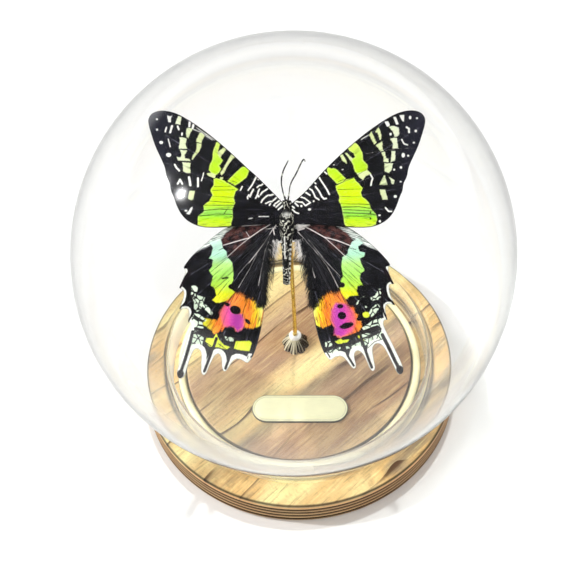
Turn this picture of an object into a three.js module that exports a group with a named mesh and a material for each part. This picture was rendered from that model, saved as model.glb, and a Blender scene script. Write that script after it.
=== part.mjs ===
// A sunset moth set with its wings spread, held on a brass rod inside a blown glass globe
// that stands in the groove of a turned wooden base. Millimetres, +Z up, front towards -Y.
// The origin is the middle of the base's underside.
import * as THREE from 'three';

// Wooden base
const BASE_RADIUS = 47.5;
const BASE_THICK = 9.6;
const BASE_EDGE_ROUND = 0.8;
const SIDE_GROOVE_DEPTH = 0.9;
const SIDE_GROOVE_HALF_WIDTH = 0.35;
const SIDE_GROOVE_HEIGHTS = [1.8, 3.6, 5.4, 7.1];
const SEAT_OUTER_RADIUS = 40;
const SEAT_INNER_RADIUS = 37.2;
const SEAT_DEPTH = 1.5;
const PLATEAU_RADIUS = 34.3;
const PLATEAU_RISE = 2.5;
const BEAD_RISE = 1.9;
const BASE_SEGMENTS = 52;

// Glass globe
const GLOBE_RADIUS = 60;
const GLOBE_CENTRE_RISE = 56.5; // above the top of the base's ring
const GLASS_WALL = 1.6;
const NECK_RADIUS = 39.4;
const NECK_FILLET = 4;
const GLOBE_SEGMENTS = 48;
const GLOBE_ARC_STEPS = 14;

// Plaque on the plateau
const PLAQUE_LENGTH = 28.6;
const PLAQUE_WIDTH = 9.2;
const PLAQUE_THICK = 0.8;
const PLAQUE_PLACE = { x: -0.3, y: -17.2 };
const PLAQUE_TURN = -3.2;

// Rod with its bead cap and collar
const ROD_RADIUS = 0.7;
const ROD_PLACE = { x: -0.7, y: 6.2 };
const ROD_TOP = 71.2;
const BORE_GAP = 0.3;
const CAP_RADIUS = 4.2;
const CAP_HEIGHT = 4.0;
const CAP_LOBES = 8;
const CAP_LOBE_DEPTH = 0.35;
const COLLAR_RADIUS = 1.9;
const COLLAR_HEIGHT = 1.6;

// Moth: its own frame has +X to its wing tips, +Y to its head and +Z out of its back
const MOTH_PLACE = { x: -1.4, y: 5.2, z: 74 };
const MOTH_LEAN = 36.8; // how far the wings lie back from level
const MOTH_SPIN = -2.8; // about its own back
const WING_DIHEDRAL = 4;
const WING_THICK = 0.35;
const WING_ROOT = 2.9;
const FOREWING_LIFT = 0.45; // of the forewings' underside
const HINDWING_LIFT = -0.35;
const HINDWING_SWING = { left: 0, right: 1.5 };
const THORAX = { x: 0, y: 0, z: -0.1, halfWidth: 2.5, halfLength: 4.0, halfDepth: 2.2 };
const HEAD = { x: 0, y: 5.9, z: 0.1, halfWidth: 1.6, halfLength: 1.35, halfDepth: 1.2 };
const ABDOMEN = { top: -4.5, tip: -16.9, widest: 1.5, narrowest: 0.85 };
const ANTENNA_RADIUS = 0.2;
const LEG_RADIUS = 0.25;

const ringTop = BASE_THICK;
const plateauTop = BASE_THICK + PLATEAU_RISE;
const seatFloor = BASE_THICK - SEAT_DEPTH;
const globeCentre = BASE_THICK + GLOBE_CENTRE_RISE;

const object = new THREE.Group();
const moth = new THREE.Group();
moth.position.set(MOTH_PLACE.x, MOTH_PLACE.y, MOTH_PLACE.z);
moth.rotation.set(THREE.MathUtils.degToRad(MOTH_LEAN), 0, THREE.MathUtils.degToRad(MOTH_SPIN), 'XYZ');
object.add(moth);

const material = (color, roughness, metalness) =>
  new THREE.MeshStandardMaterial({ color, roughness, metalness });
const wood = material('#d9b586', 0.55, 0);
const glass = material('#eef6f4', 0.05, 0);
const plate = material('#efe6bd', 0.35, 0.6);
const brass = material('#a67c3a', 0.35, 1);
const agedBrass = material('#7a5a2c', 0.45, 1);
const clearBead = material('#f2efe6', 0.1, 0);
const fur = material('#15161b', 0.9, 0);
const wing = material('#17151c', 0.6, 0);

function add(group, name, geometry, finish) {
  const mesh = new THREE.Mesh(geometry, finish);
  mesh.name = name;
  group.add(mesh);
  return mesh;
}

// A LatheGeometry turns about Y, so it is tipped up to turn about Z. The profile runs upwards
// on the outside, so that the faces point out.
function turned(profile, segments) {
  const points = profile.map(([radius, height]) => new THREE.Vector2(radius, height));
  const geometry = new THREE.LatheGeometry(points, segments);
  geometry.rotateX(Math.PI / 2);
  return geometry;
}

// Points on an arc round (x, y), from one angle to another in degrees, both ends included
function arc(x, y, radius, from, to, steps) {
  return Array.from({ length: steps + 1 }, (_, i) => {
    const angle = THREE.MathUtils.degToRad(from + ((to - from) * i) / steps);
    return [x + radius * Math.cos(angle), y + radius * Math.sin(angle)];
  });
}

function baseProfile() {
  const grooves = SIDE_GROOVE_HEIGHTS.flatMap((height) => [
    [BASE_RADIUS, height - SIDE_GROOVE_HALF_WIDTH],
    [BASE_RADIUS - SIDE_GROOVE_DEPTH, height],
    [BASE_RADIUS, height + SIDE_GROOVE_HALF_WIDTH],
  ]);
  const edge = arc(BASE_RADIUS - BASE_EDGE_ROUND, ringTop - BASE_EDGE_ROUND, BASE_EDGE_ROUND, 0, 90, 2);
  const seat = [
    [SEAT_OUTER_RADIUS, ringTop],
    [SEAT_OUTER_RADIUS, seatFloor],
    [SEAT_INNER_RADIUS, seatFloor],
  ];
  const beadTop = ringTop + BEAD_RISE;
  const bead = [
    [SEAT_INNER_RADIUS, ringTop + BEAD_RISE / 2],
    [SEAT_INNER_RADIUS - 0.8, beadTop - 0.2],
    [PLATEAU_RADIUS + 0.9, beadTop],
    [PLATEAU_RADIUS + 0.3, beadTop - 0.6],
  ];
  const plateau = [
    [PLATEAU_RADIUS, plateauTop - 0.4],
    [PLATEAU_RADIUS - 0.4, plateauTop],
  ];
  return [[0, 0], [BASE_RADIUS - 0.6, 0], ...grooves, ...edge, ...seat, ...bead, ...plateau, [0, plateauTop]];
}

// The wall between the globe's outer and inner surfaces. A fillet round the same centre joins
// sphere and neck on both of them.
function globeProfile() {
  const filletX = NECK_RADIUS + NECK_FILLET;
  const filletDrop = Math.sqrt((GLOBE_RADIUS + NECK_FILLET) ** 2 - filletX ** 2);
  const filletZ = globeCentre - filletDrop;
  const meet = THREE.MathUtils.radToDeg(Math.atan2(-filletDrop, filletX));
  const surface = (inset) => {
    const sphere = arc(0, globeCentre, GLOBE_RADIUS - inset, meet, 90, GLOBE_ARC_STEPS);
    const fillet = arc(filletX, filletZ, NECK_FILLET + inset, 180, 180 + meet, 3);
    sphere[GLOBE_ARC_STEPS][0] = 0;
    return [[NECK_RADIUS - inset, seatFloor], ...fillet, ...sphere.slice(1)];
  };
  return [...surface(GLASS_WALL).reverse(), ...surface(0)];
}

function plaqueShape() {
  const end = PLAQUE_WIDTH / 2;
  const middle = PLAQUE_LENGTH / 2 - end;
  const shape = new THREE.Shape();
  shape.absarc(middle, 0, end, -Math.PI / 2, Math.PI / 2, false);
  shape.absarc(-middle, 0, end, Math.PI / 2, (3 * Math.PI) / 2, false);
  return shape;
}

// An umbrella of scalloped lobes round the bore for the rod
function capGeometry() {
  const bore = ROD_RADIUS + BORE_GAP;
  const profile = [
    [bore, 0],
    [CAP_RADIUS - 0.3, 0],
    [CAP_RADIUS, 0.5],
    [CAP_RADIUS * 0.9, CAP_HEIGHT * 0.42],
    [CAP_RADIUS * 0.66, CAP_HEIGHT * 0.75],
    [CAP_RADIUS * 0.36, CAP_HEIGHT],
    [bore, CAP_HEIGHT],
    [bore, 0],
  ];
  const geometry = turned(profile, CAP_LOBES * 4);
  const place = geometry.attributes.position;
  for (let i = 0; i < place.count; i += 1) {
    const x = place.getX(i);
    const y = place.getY(i);
    const radius = Math.hypot(x, y);
    const share = Math.max(0, (radius - bore) / (CAP_RADIUS - bore));
    const wave = (Math.cos(CAP_LOBES * Math.atan2(y, x)) - 1) / 2;
    const scale = 1 + (CAP_LOBE_DEPTH * share * wave) / radius;
    place.setXY(i, x * scale, y * scale);
  }
  return geometry;
}

function collarGeometry() {
  const bore = ROD_RADIUS + BORE_GAP;
  const half = COLLAR_HEIGHT / 2;
  const round = arc(COLLAR_RADIUS - half, half, half, -90, 90, 6);
  return turned([[bore, 0], ...round, [bore, COLLAR_HEIGHT], [bore, 0]], 20);
}

// An egg with its own half length, half width and half depth
function egg({ x, y, z, halfWidth, halfLength, halfDepth }, around, along) {
  const geometry = new THREE.SphereGeometry(1, around, along);
  geometry.scale(halfWidth, halfLength, halfDepth);
  geometry.translate(x, y, z);
  return geometry;
}

function abdomenGeometry() {
  const length = ABDOMEN.top - ABDOMEN.tip;
  const at = (share, radius) => new THREE.Vector2(radius, ABDOMEN.tip + share * length);
  const profile = [
    at(0, 0),
    at(0.05, ABDOMEN.narrowest * 0.8),
    at(0.2, ABDOMEN.narrowest),
    at(0.5, (ABDOMEN.narrowest + ABDOMEN.widest) / 2),
    at(0.85, ABDOMEN.widest),
    at(0.97, ABDOMEN.widest * 0.7),
    at(1, 0),
  ];
  return new THREE.LatheGeometry(profile, 14);
}

// A thin round stem along a curve through points in the moth's frame
function stem(points, radius, steps) {
  const path = new THREE.CatmullRomCurve3(points.map(([x, y, z]) => new THREE.Vector3(x, y, z)));
  const section = new THREE.Shape();
  section.absarc(0, 0, radius, 0, Math.PI * 2, false);
  return new THREE.ExtrudeGeometry(section, { extrudePath: path, steps, curveSegments: 3 });
}

// Wing outlines, measured out from the body and up towards the head
const FOREWING_COSTA = [[2.3, 6.6], [9.2, 12.9], [17.3, 20.5], [25.4, 26.8], [32.2, 29.5], [35.7, 29.1], [36.9, 26.7]];
const FOREWING_MARGIN = [[36.9, 26.7], [36, 23.2], [33.4, 16.6], [30.8, 8.7], [28.6, 2.8], [24.8, -0.8], [20, -1.5]];
const FOREWING_HIND_EDGE = [[20, -1.5], [9.3, -0.7], [WING_ROOT, -0.6]];
const HINDWING_FRONT = [[WING_ROOT, 1.2], [11, 2], [18, -3.8], [23.9, -8.2], [27.6, -12.2]];
const HINDWING_TEETH = [[27, -13.5], [28.9, -17.5], [26.6, -18.2], [28.9, -23.3], [25.6, -23], [26, -26.8]];
const HINDWING_TAILS = [
  [24.6, -26.6], [26.8, -30.5], [29.6, -40], [28.7, -42.2], [27.3, -41],
  [25.6, -35], [24, -33.4], [23, -35.2], [23.1, -40.6], [22.3, -41.3], [21.4, -40.2],
  [20.2, -37], [18.6, -35.2], [17.8, -36.4], [17.4, -39.8], [16.6, -40.4], [15.7, -39.2], [13.6, -36.8],
];
const HINDWING_INNER_EDGE = [[10.2, -37.9], [8, -33], [6.1, -24.4], [4.9, -14.8], [4.6, -8], [WING_ROOT, -3.4]];

function forewingShape() {
  const shape = new THREE.Shape();
  shape.moveTo(WING_ROOT, 4.2);
  shape.lineTo(...FOREWING_COSTA[0]);
  for (const stretch of [FOREWING_COSTA, FOREWING_MARGIN, FOREWING_HIND_EDGE]) curveOn(shape, stretch);
  return shape;
}

function hindwingShape() {
  const shape = new THREE.Shape();
  shape.moveTo(...HINDWING_FRONT[0]);
  curveOn(shape, HINDWING_FRONT);
  for (const [x, y] of [...HINDWING_TEETH, ...HINDWING_TAILS]) shape.lineTo(x, y);
  shape.lineTo(...HINDWING_INNER_EDGE[0]);
  curveOn(shape, HINDWING_INNER_EDGE);
  return shape;
}

// Goes on from the first point of the stretch, where the shape already is, through the others
function curveOn(shape, stretch) {
  shape.splineThru(stretch.slice(1).map(([x, y]) => new THREE.Vector2(x, y)));
}

// A wing plate. The left one is the mirror image, cut from a mirrored outline.
function wingGeometry(shape, side, lift, swing) {
  const sign = side === 'left' ? -1 : 1;
  const outline = shape.getPoints(4).map(({ x, y }) => new THREE.Vector2(sign * x, y));
  const geometry = new THREE.ExtrudeGeometry(new THREE.Shape(outline), {
    depth: WING_THICK,
    bevelEnabled: false,
  });
  geometry.translate(-sign * WING_ROOT, 0, lift);
  geometry.rotateZ(THREE.MathUtils.degToRad(swing));
  geometry.rotateY(THREE.MathUtils.degToRad(-sign * WING_DIHEDRAL));
  geometry.translate(sign * WING_ROOT, 0, 0);
  return geometry;
}

// Base and globe
add(object, 'wood_base', turned(baseProfile(), BASE_SEGMENTS), wood);
add(object, 'glass_globe', turned(globeProfile(), GLOBE_SEGMENTS), glass);

// Fittings on the plateau
const plaque = add(
  object,
  'name_plaque',
  new THREE.ExtrudeGeometry(plaqueShape(), { depth: PLAQUE_THICK, bevelEnabled: false, curveSegments: 10 }),
  plate,
);
plaque.position.set(PLAQUE_PLACE.x, PLAQUE_PLACE.y, plateauTop);
plaque.rotation.z = THREE.MathUtils.degToRad(PLAQUE_TURN);

const cap = add(object, 'bead_cap', capGeometry(), agedBrass);
cap.position.set(ROD_PLACE.x, ROD_PLACE.y, plateauTop);
const collar = add(object, 'rod_collar', collarGeometry(), clearBead);
collar.position.set(ROD_PLACE.x, ROD_PLACE.y, plateauTop + CAP_HEIGHT);
const rodLength = ROD_TOP - plateauTop;
const rod = add(object, 'support_rod', new THREE.CylinderGeometry(ROD_RADIUS, ROD_RADIUS, rodLength, 12), brass);
rod.geometry.rotateX(Math.PI / 2);
rod.position.set(ROD_PLACE.x, ROD_PLACE.y, plateauTop + rodLength / 2);

// Body
add(moth, 'moth_head', egg(HEAD, 14, 10), fur);
add(moth, 'moth_thorax', egg(THORAX, 16, 12), fur);
add(moth, 'moth_abdomen', abdomenGeometry(), fur);

// Wings
for (const side of ['left', 'right']) {
  add(moth, `forewing_${side}`, wingGeometry(forewingShape(), side, FOREWING_LIFT, 0), wing);
  const hindwing = wingGeometry(hindwingShape(), side, HINDWING_LIFT, HINDWING_SWING[side]);
  add(moth, `hindwing_${side}`, hindwing, wing);
}

// Antennae, each from just clear of the head to its tip
const ANTENNAE = {
  left: [[-0.5, 7.5, 0.5], [-1.4, 10.3, 1.2], [-1, 13.4, 1.6], [0.4, 16.4, 1.8]],
  right: [[0.5, 7.5, 0.5], [1, 10, 1.1], [2.5, 12.9, 1.6], [4.5, 16.5, 1.8]],
};
for (const [side, points] of Object.entries(ANTENNAE)) {
  add(moth, `antenna_${side}`, stem(points, ANTENNA_RADIUS, 8), fur);
}

// Legs: the left hind leg hangs free below the wing, and the others lie folded under the body
const LEGS = {
  foreleg_left: [[-1.6, 3.4, -2.4], [-1.9, 4.6, -3], [-1.6, 2.8, -3.6]],
  foreleg_right: [[1.6, 3.4, -2.4], [1.9, 4.6, -3], [1.6, 2.8, -3.6]],
  middle_leg_left: [[-2.2, 0.4, -2.2], [-3, -1.4, -3], [-2.2, -4.6, -3.4]],
  middle_leg_right: [[2.4, 0.4, -2.2], [3, -1.4, -3], [2.4, -4.6, -3.4]],
  hind_leg_left: [[-2.5, -2.9, -2], [-3.1, -4.4, -2.4], [-2.4, -6.2, -2.6], [-4.1, -11.8, -2.8]],
  hind_leg_right: [[2.5, -2.9, -2], [2.8, -5.4, -3], [2.2, -9.2, -3.2]],
};
for (const [name, points] of Object.entries(LEGS)) add(moth, name, stem(points, LEG_RADIUS, 6), fur);

export default object;
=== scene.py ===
"""Looks of a sunset moth set inside a blown glass globe on a turned wooden base.

Sizes are in millimetres and are brought to metres as a mesh is made. +Z is up and the plaque
lies towards -Y. Every surface is a formula of two parameters, worked out on numpy grids.
"""

import logging
import math
from dataclasses import dataclass, field
from enum import Enum
from typing import Optional, Sequence, Union

import bpy
import numpy as np
from mathutils import Matrix, Vector


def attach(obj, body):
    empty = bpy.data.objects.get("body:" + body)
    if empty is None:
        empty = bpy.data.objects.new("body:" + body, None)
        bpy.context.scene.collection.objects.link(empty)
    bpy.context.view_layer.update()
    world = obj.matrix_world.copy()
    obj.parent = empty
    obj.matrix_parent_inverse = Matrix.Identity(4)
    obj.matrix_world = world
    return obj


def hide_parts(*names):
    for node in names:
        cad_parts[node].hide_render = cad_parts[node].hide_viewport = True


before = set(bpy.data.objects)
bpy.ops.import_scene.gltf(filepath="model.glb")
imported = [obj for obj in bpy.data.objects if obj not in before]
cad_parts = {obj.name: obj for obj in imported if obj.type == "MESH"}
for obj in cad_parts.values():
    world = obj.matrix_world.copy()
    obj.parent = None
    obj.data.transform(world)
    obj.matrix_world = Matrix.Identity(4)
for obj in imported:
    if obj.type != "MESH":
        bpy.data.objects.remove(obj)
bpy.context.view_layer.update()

LOG = logging.getLogger("globe")
MM = 0.001
BODY = "root"

Line = Sequence[tuple[float, float]]
Socket = bpy.types.NodeSocket
Finish = bpy.types.Material
Plug = Union[Socket, float, tuple]


class Side(Enum):
    """The two sides of the moth, with the sign of X on each."""

    LEFT = -1
    RIGHT = 1

    @property
    def word(self) -> str:
        """The side's word in a piece's name."""
        return self.name.lower()


class Slot(Enum):
    """The record's material slots."""

    WOOD = "base_wood"
    GLOBE = "globe_glass"
    PLAQUE = "plaque_metal"
    CAP = "cap_brass"
    COLLAR = "collar_glass"
    ROD = "rod_brass"
    BODY = "moth_body"
    WING = "moth_wing"


# ---------------------------------------------------------------------------------------------
# Meshes from arrays
# ---------------------------------------------------------------------------------------------


@dataclass
class Shell:
    """One closed surface or several, as points and faces, with values that go along on its points."""

    points: np.ndarray
    quads: np.ndarray
    tris: np.ndarray
    values: dict[str, np.ndarray] = field(default_factory=dict)

    def outward(self) -> "Shell":
        """Turns the faces over if the enclosed volume comes out negative.

        Returns:
            The shell itself, with its faces pointing out.
        """
        halves = [self.tris, self.quads[:, [0, 1, 2]], self.quads[:, [0, 2, 3]]]
        a, b, c = (self.points[np.concatenate([half[:, i] for half in halves])] for i in range(3))
        if np.einsum("ij,ij->i", a, np.cross(b, c)).sum() < 0:
            self.quads = self.quads[:, ::-1]
            self.tris = self.tris[:, ::-1]
        return self

    def joined(self, *others: "Shell") -> "Shell":
        """Puts other shells with the same values into one with this.

        Args:
            others: Shells to take in.

        Returns:
            A new shell that holds them all.
        """
        shells = [self, *others]
        starts = np.cumsum([0] + [len(s.points) for s in shells[:-1]])
        return Shell(
            np.concatenate([s.points for s in shells]),
            np.concatenate([s.quads + start for s, start in zip(shells, starts)]),
            np.concatenate([s.tris + start for s, start in zip(shells, starts)]),
            {key: np.concatenate([s.values[key] for s in shells]) for key in self.values},
        )

    def piece(self, name: str, slot: Slot, material: Finish, *stands_for: str) -> bpy.types.Object:
        """Makes the Blender object, lets it ride on the one body and gives it its finish.

        Args:
            name: The piece's name.
            slot: The record's slot that the finish belongs to; not used.
            material: The finish.
            stands_for: CAD nodes that the piece replaces.

        Returns:
            The object, at the origin.
        """
        mesh = bpy.data.meshes.new(name)
        mesh.vertices.add(len(self.points))
        mesh.vertices.foreach_set("co", (self.points * MM).astype(np.float32).ravel())
        corners = np.concatenate([self.quads.ravel(), self.tris.ravel()]).astype(np.int32)
        sizes = np.repeat([4, 3], [len(self.quads), len(self.tris)])
        mesh.loops.add(len(corners))
        mesh.loops.foreach_set("vertex_index", corners)
        mesh.polygons.add(len(sizes))
        mesh.polygons.foreach_set("loop_start", (np.cumsum(sizes) - sizes).astype(np.int32))
        mesh.update(calc_edges=True)
        mesh.validate()
        mesh.shade_smooth()
        for key, value in self.values.items():
            kind = "FLOAT" if value.ndim == 1 else "FLOAT_VECTOR"
            slot_name = "value" if value.ndim == 1 else "vector"
            layer = mesh.attributes.new(key, kind, "POINT")
            layer.data.foreach_set(slot_name, value.astype(np.float32).ravel())
        mesh.materials.append(material)
        made = bpy.data.objects.new(name, mesh)
        bpy.context.scene.collection.objects.link(made)
        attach(made, BODY)
        if stands_for:
            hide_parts(*stands_for)
        triangles = 2 * len(self.quads) + len(self.tris)
        LOG.info("%s: %d points, %d triangles", name, len(self.points), triangles)
        return made


def skin(grid: np.ndarray, around: bool = True, loop: bool = False) -> Shell:
    """Covers a grid of points with faces. An end row whose points all meet becomes one pole.

    Args:
        grid: Points, rows by columns by three.
        around: Whether the last column joins the first.
        loop: Whether the last row joins the first.

    Returns:
        The covered grid, with its faces pointing out.
    """
    rows, cols = grid.shape[:2]
    index = np.arange(rows * cols).reshape(rows, cols)
    for row in (0, rows - 1):
        if not loop and np.ptp(grid[row], axis=0).max() < 1e-9:
            index[row] = index[row, 0]
    if around:
        index = np.concatenate([index, index[:, :1]], axis=1)
    if loop:
        index = np.concatenate([index, index[:1]], axis=0)
    cells = np.stack([index[:-1, :-1], index[:-1, 1:], index[1:, 1:], index[1:, :-1]], -1).reshape(-1, 4)
    low = cells[:, 0] == cells[:, 1]
    high = cells[:, 2] == cells[:, 3]
    quads = cells[~(low | high)]
    tris = np.concatenate([cells[low][:, [0, 2, 3]], cells[high][:, [0, 1, 2]]])
    used, places = np.unique(np.concatenate([quads.ravel(), tris.ravel()]), return_inverse=True)
    quads_used = places[: quads.size].reshape(-1, 4)
    tris_used = places[quads.size:].reshape(-1, 3)
    return Shell(grid.reshape(-1, 3)[used], quads_used, tris_used).outward()


def turned_grid(profile: np.ndarray, segments: int) -> np.ndarray:
    """Turns a profile about Z: x = r cos a, y = r sin a, z as it is.

    Args:
        profile: Points (r, z).
        segments: Steps round the circle.

    Returns:
        Points, profile by angle by three.
    """
    angle = np.linspace(0, 2 * math.pi, segments, endpoint=False)
    radius, height = profile[:, :1], profile[:, 1:]
    flat = [radius * np.cos(angle), radius * np.sin(angle), height + 0 * angle]
    return np.stack(flat, -1)


def arc(x: float, y: float, radius: float, start: float, end: float, steps: int) -> np.ndarray:
    """Points on an arc round (x, y), from one angle to another in degrees, both ends included."""
    angle = np.radians(np.linspace(start, end, steps + 1))
    return np.stack([x + radius * np.cos(angle), y + radius * np.sin(angle)], -1)


def along(points: Sequence[Sequence[float]], steps: int) -> np.ndarray:
    """A Catmull-Rom curve through points, at even steps of its parameter.

    Each stretch is the cubic that leaves a point parallel to the line between its neighbours.

    Args:
        points: Points of two or three numbers each.
        steps: How many points to give back.

    Returns:
        Points on the curve, both ends included.
    """
    knots = np.asarray(points, float)
    padded = np.concatenate([[2 * knots[0] - knots[1]], knots, [2 * knots[-1] - knots[-2]]])
    at = np.linspace(0, len(knots) - 1, steps)
    cell = np.minimum(at.astype(int), len(knots) - 2)
    t = (at - cell)[:, None]
    a, b, c, d = (padded[cell + i] for i in range(4))
    return 0.5 * (2 * b + (c - a) * t + (2 * a - 5 * b + 4 * c - d) * t**2 + (3 * b - a - 3 * c + d) * t**3)


def bell(value: np.ndarray, middle: Union[float, np.ndarray], width: float) -> np.ndarray:
    """exp(-((value - middle) / width)**2): one in the middle and next to nothing two widths away."""
    return np.exp(-(((value - middle) / width) ** 2))


def tube(path: np.ndarray, radii: np.ndarray, sides: int) -> Shell:
    """A round stem along a path: each ring stands square to the path, and both ends close in a point.

    Args:
        path: Points along the middle.
        radii: The radius at each of them.
        sides: Points round each ring.

    Returns:
        The closed stem.
    """
    ahead = np.gradient(path, axis=0)
    ahead /= np.linalg.norm(ahead, axis=1, keepdims=True)
    across = np.cross(ahead, np.array([0.31, 0.22, 0.92]))
    across /= np.linalg.norm(across, axis=1, keepdims=True)
    up = np.cross(across, ahead)
    angle = np.linspace(0, 2 * math.pi, sides, endpoint=False)
    ring = np.cos(angle)[None, :, None] * across[:, None] + np.sin(angle)[None, :, None] * up[:, None]
    body = path[:, None] + radii[:, None, None] * ring
    start = np.repeat(path[:1, None] - 0.6 * radii[0] * ahead[:1, None], sides, axis=1)
    end = np.repeat(path[-1:, None] + 0.6 * radii[-1] * ahead[-1:, None], sides, axis=1)
    return skin(np.concatenate([start, body, end]))


def hairs(roots: np.ndarray, reach: np.ndarray, sag: np.ndarray, radius: float, tone: np.ndarray) -> Shell:
    """Three-sided tapering hairs: root + reach t + sag 4 t (1 - t), thinner towards the tip.

    Args:
        roots: Where each hair starts.
        reach: From each root to its tip.
        sag: How far the middle of each hair stands off the straight line.
        radius: At the root.
        tone: A value from 0 to 1 for each hair, for its shade.

    Returns:
        All the hairs as closed spikes, with their tone on the points.
    """
    t = np.array([0.0, 0.35, 0.7, 1.0])
    taper = np.array([1.0, 0.85, 0.5, 0.06]) * radius
    bow = 4 * t * (1 - t)
    spine = roots[:, None] + reach[:, None] * t[None, :, None] + sag[:, None] * bow[None, :, None]
    ahead = reach / np.linalg.norm(reach, axis=1, keepdims=True)
    across = np.cross(ahead, np.array([0.37, 0.19, 0.91]))
    across /= np.linalg.norm(across, axis=1, keepdims=True) + 1e-9
    up = np.cross(ahead, across)
    angle = np.arange(3) * 2 * math.pi / 3
    ring = np.cos(angle)[:, None] * across[:, None] + np.sin(angle)[:, None] * up[:, None]
    points = spine[:, :, None] + taper[None, :, None, None] * ring[:, None]
    index = np.arange(len(roots) * 12).reshape(-1, 4, 3)
    following = np.roll(index, -1, axis=2)
    quads = np.stack([index[:, :-1], following[:, :-1], following[:, 1:], index[:, 1:]], -1).reshape(-1, 4)
    tris = np.concatenate([index[:, 0, ::-1], index[:, -1]])
    shell = Shell(points.reshape(-1, 3), quads, tris, {"tone": np.repeat(tone, 12)})
    return shell.outward()


# ---------------------------------------------------------------------------------------------
# Materials
# ---------------------------------------------------------------------------------------------


def rgb(red: int, green: int, blue: int) -> tuple[float, float, float, float]:
    """A screen colour as linear light.

    Args:
        red: 0 to 255, as are the other two.
        green: The second channel.
        blue: The third channel.

    Returns:
        The colour in linear light, with a full alpha.
    """
    shares = np.array([red, green, blue]) / 255
    linear = np.where(shares <= 0.04045, shares / 12.92, ((shares + 0.055) / 1.055) ** 2.4)
    return (*(float(v) for v in linear), 1.0)


class Recipe:
    """One material's nodes, put in with short calls."""

    def __init__(self, name: str) -> None:
        """Starts an empty material.

        Args:
            name: The material's name.
        """
        self.material = bpy.data.materials.new(name)
        self.material.use_nodes = True
        self.tree = self.material.node_tree
        self.tree.nodes.clear()

    def node(self, kind: str, inputs: Optional[dict] = None, **settings: object) -> bpy.types.Node:
        """Adds a node.

        Args:
            kind: The node's type in Blender.
            inputs: What its inputs get, by their names or numbers: an output to link, or a value.
            settings: Properties to set on it.

        Returns:
            The new node.
        """
        made = self.tree.nodes.new(kind)
        for key, value in settings.items():
            setattr(made, key, value)
        for key, value in (inputs or {}).items():
            if isinstance(value, Socket):
                self.tree.links.new(value, made.inputs[key])
            else:
                made.inputs[key].default_value = value
        return made

    def value(self, name: str) -> Socket:
        """The piece's own number of that name."""
        return self.node("ShaderNodeAttribute", attribute_name=name).outputs["Fac"]

    def vector(self, name: str) -> Socket:
        """The piece's own vector of that name."""
        return self.node("ShaderNodeAttribute", attribute_name=name).outputs["Vector"]

    def place(self, scale: Sequence[float] = (1, 1, 1), turn: float = 0.0) -> Socket:
        """Object coordinates in millimetres, turned about Z by degrees and then scaled."""
        turned = self.stretched(self.node("ShaderNodeTexCoord").outputs["Object"], (1, 1, 1), turn)
        return self.stretched(turned, [s / MM for s in scale])

    def stretched(self, vector: Plug, scale: Sequence[float], turn: float = 0.0) -> Socket:
        """A vector turned about Z by degrees after it is scaled."""
        inputs = {"Vector": vector, "Rotation": (0, 0, math.radians(turn)), "Scale": tuple(scale)}
        return self.node("ShaderNodeMapping", inputs).outputs["Vector"]

    def noise(self, vector: Plug, scale: float = 1.0, detail: float = 3.0, rough: float = 0.55) -> Socket:
        """Soft noise of about 0 to 1. Detail counts its octaves, and rough weighs the finer ones."""
        inputs = {"Vector": vector, "Scale": scale, "Detail": detail, "Roughness": rough}
        return self.node("ShaderNodeTexNoise", inputs).outputs["Fac"]

    def split(self, vector: Plug) -> bpy.types.NodeOutputs:
        """The three numbers of a vector, by the names X, Y and Z."""
        return self.node("ShaderNodeSeparateXYZ", {0: vector}).outputs

    def calc(self, kind: str, a: Plug, b: Plug = 0.0, c: Plug = 0.0, clamp: bool = False) -> Socket:
        """The result of a Math node, kept within 0 and 1 if clamp says so."""
        return self.node("ShaderNodeMath", {0: a, 1: b, 2: c}, operation=kind, use_clamp=clamp).outputs[0]

    def between(self, value: Plug, low: float, high: float, rise: str = "SMOOTHSTEP") -> Socket:
        """0 below low, 1 above high and a rise between. Low may lie above high for a fall."""
        inputs = {"Value": value, "From Min": low, "From Max": high}
        return self.node("ShaderNodeMapRange", inputs, interpolation_type=rise).outputs["Result"]

    def ramp(self, value: Plug, low: float, high: float, *stops: tuple[float, tuple]) -> Socket:
        """Colours along a value.

        Args:
            value: What is read.
            low: The ramp's start.
            high: The ramp's end.
            stops: Places between low and high, and their colours.

        Returns:
            The colour.
        """
        colours = self.node("ShaderNodeValToRGB", {"Fac": self.between(value, low, high, "LINEAR")})
        elements = colours.color_ramp.elements
        while len(elements) < len(stops):
            elements.new(0.5)
        for element, (at, colour) in zip(elements, stops):
            element.position = (at - low) / (high - low)
            element.color = colour
        return colours.outputs["Color"]

    def mix(self, share: Plug, a: Plug, b: Plug) -> Socket:
        """Colour a with that share of b laid over it."""
        return self.node("ShaderNodeMix", {0: share, 6: a, 7: b}, data_type="RGBA").outputs[2]

    def laid(self, colour: Plug, value: Plug, rise: tuple[float, float], most: Plug, paint: Plug) -> Socket:
        """Colour with paint over it, from none at the start of a value's rise to that share at its end."""
        return self.mix(self.calc("MULTIPLY", self.between(value, *rise), most), colour, paint)

    def either(self, share: Plug, a: Socket, b: Socket) -> Socket:
        """Shader a with that share of shader b."""
        return self.node("ShaderNodeMixShader", {0: share, 1: a, 2: b}).outputs[0]

    def bump(self, height: Plug, depth: float) -> Socket:
        """A normal from a height of 0 to 1 that stands for depth in millimetres."""
        inputs = {"Height": height, "Distance": depth * MM, "Strength": 1.0}
        return self.node("ShaderNodeBump", inputs).outputs["Normal"]

    def surface(self, **inputs: Plug) -> Socket:
        """The Principled shader, with its inputs by name, underscores for spaces."""
        named = {key.replace("_", " "): value for key, value in inputs.items()}
        return self.node("ShaderNodeBsdfPrincipled", named).outputs[0]

    def finished(self, **inputs: Plug) -> Finish:
        """Ends the recipe with the Principled shader, its inputs by name, underscores for spaces."""
        return self.done(self.surface(**inputs))

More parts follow.
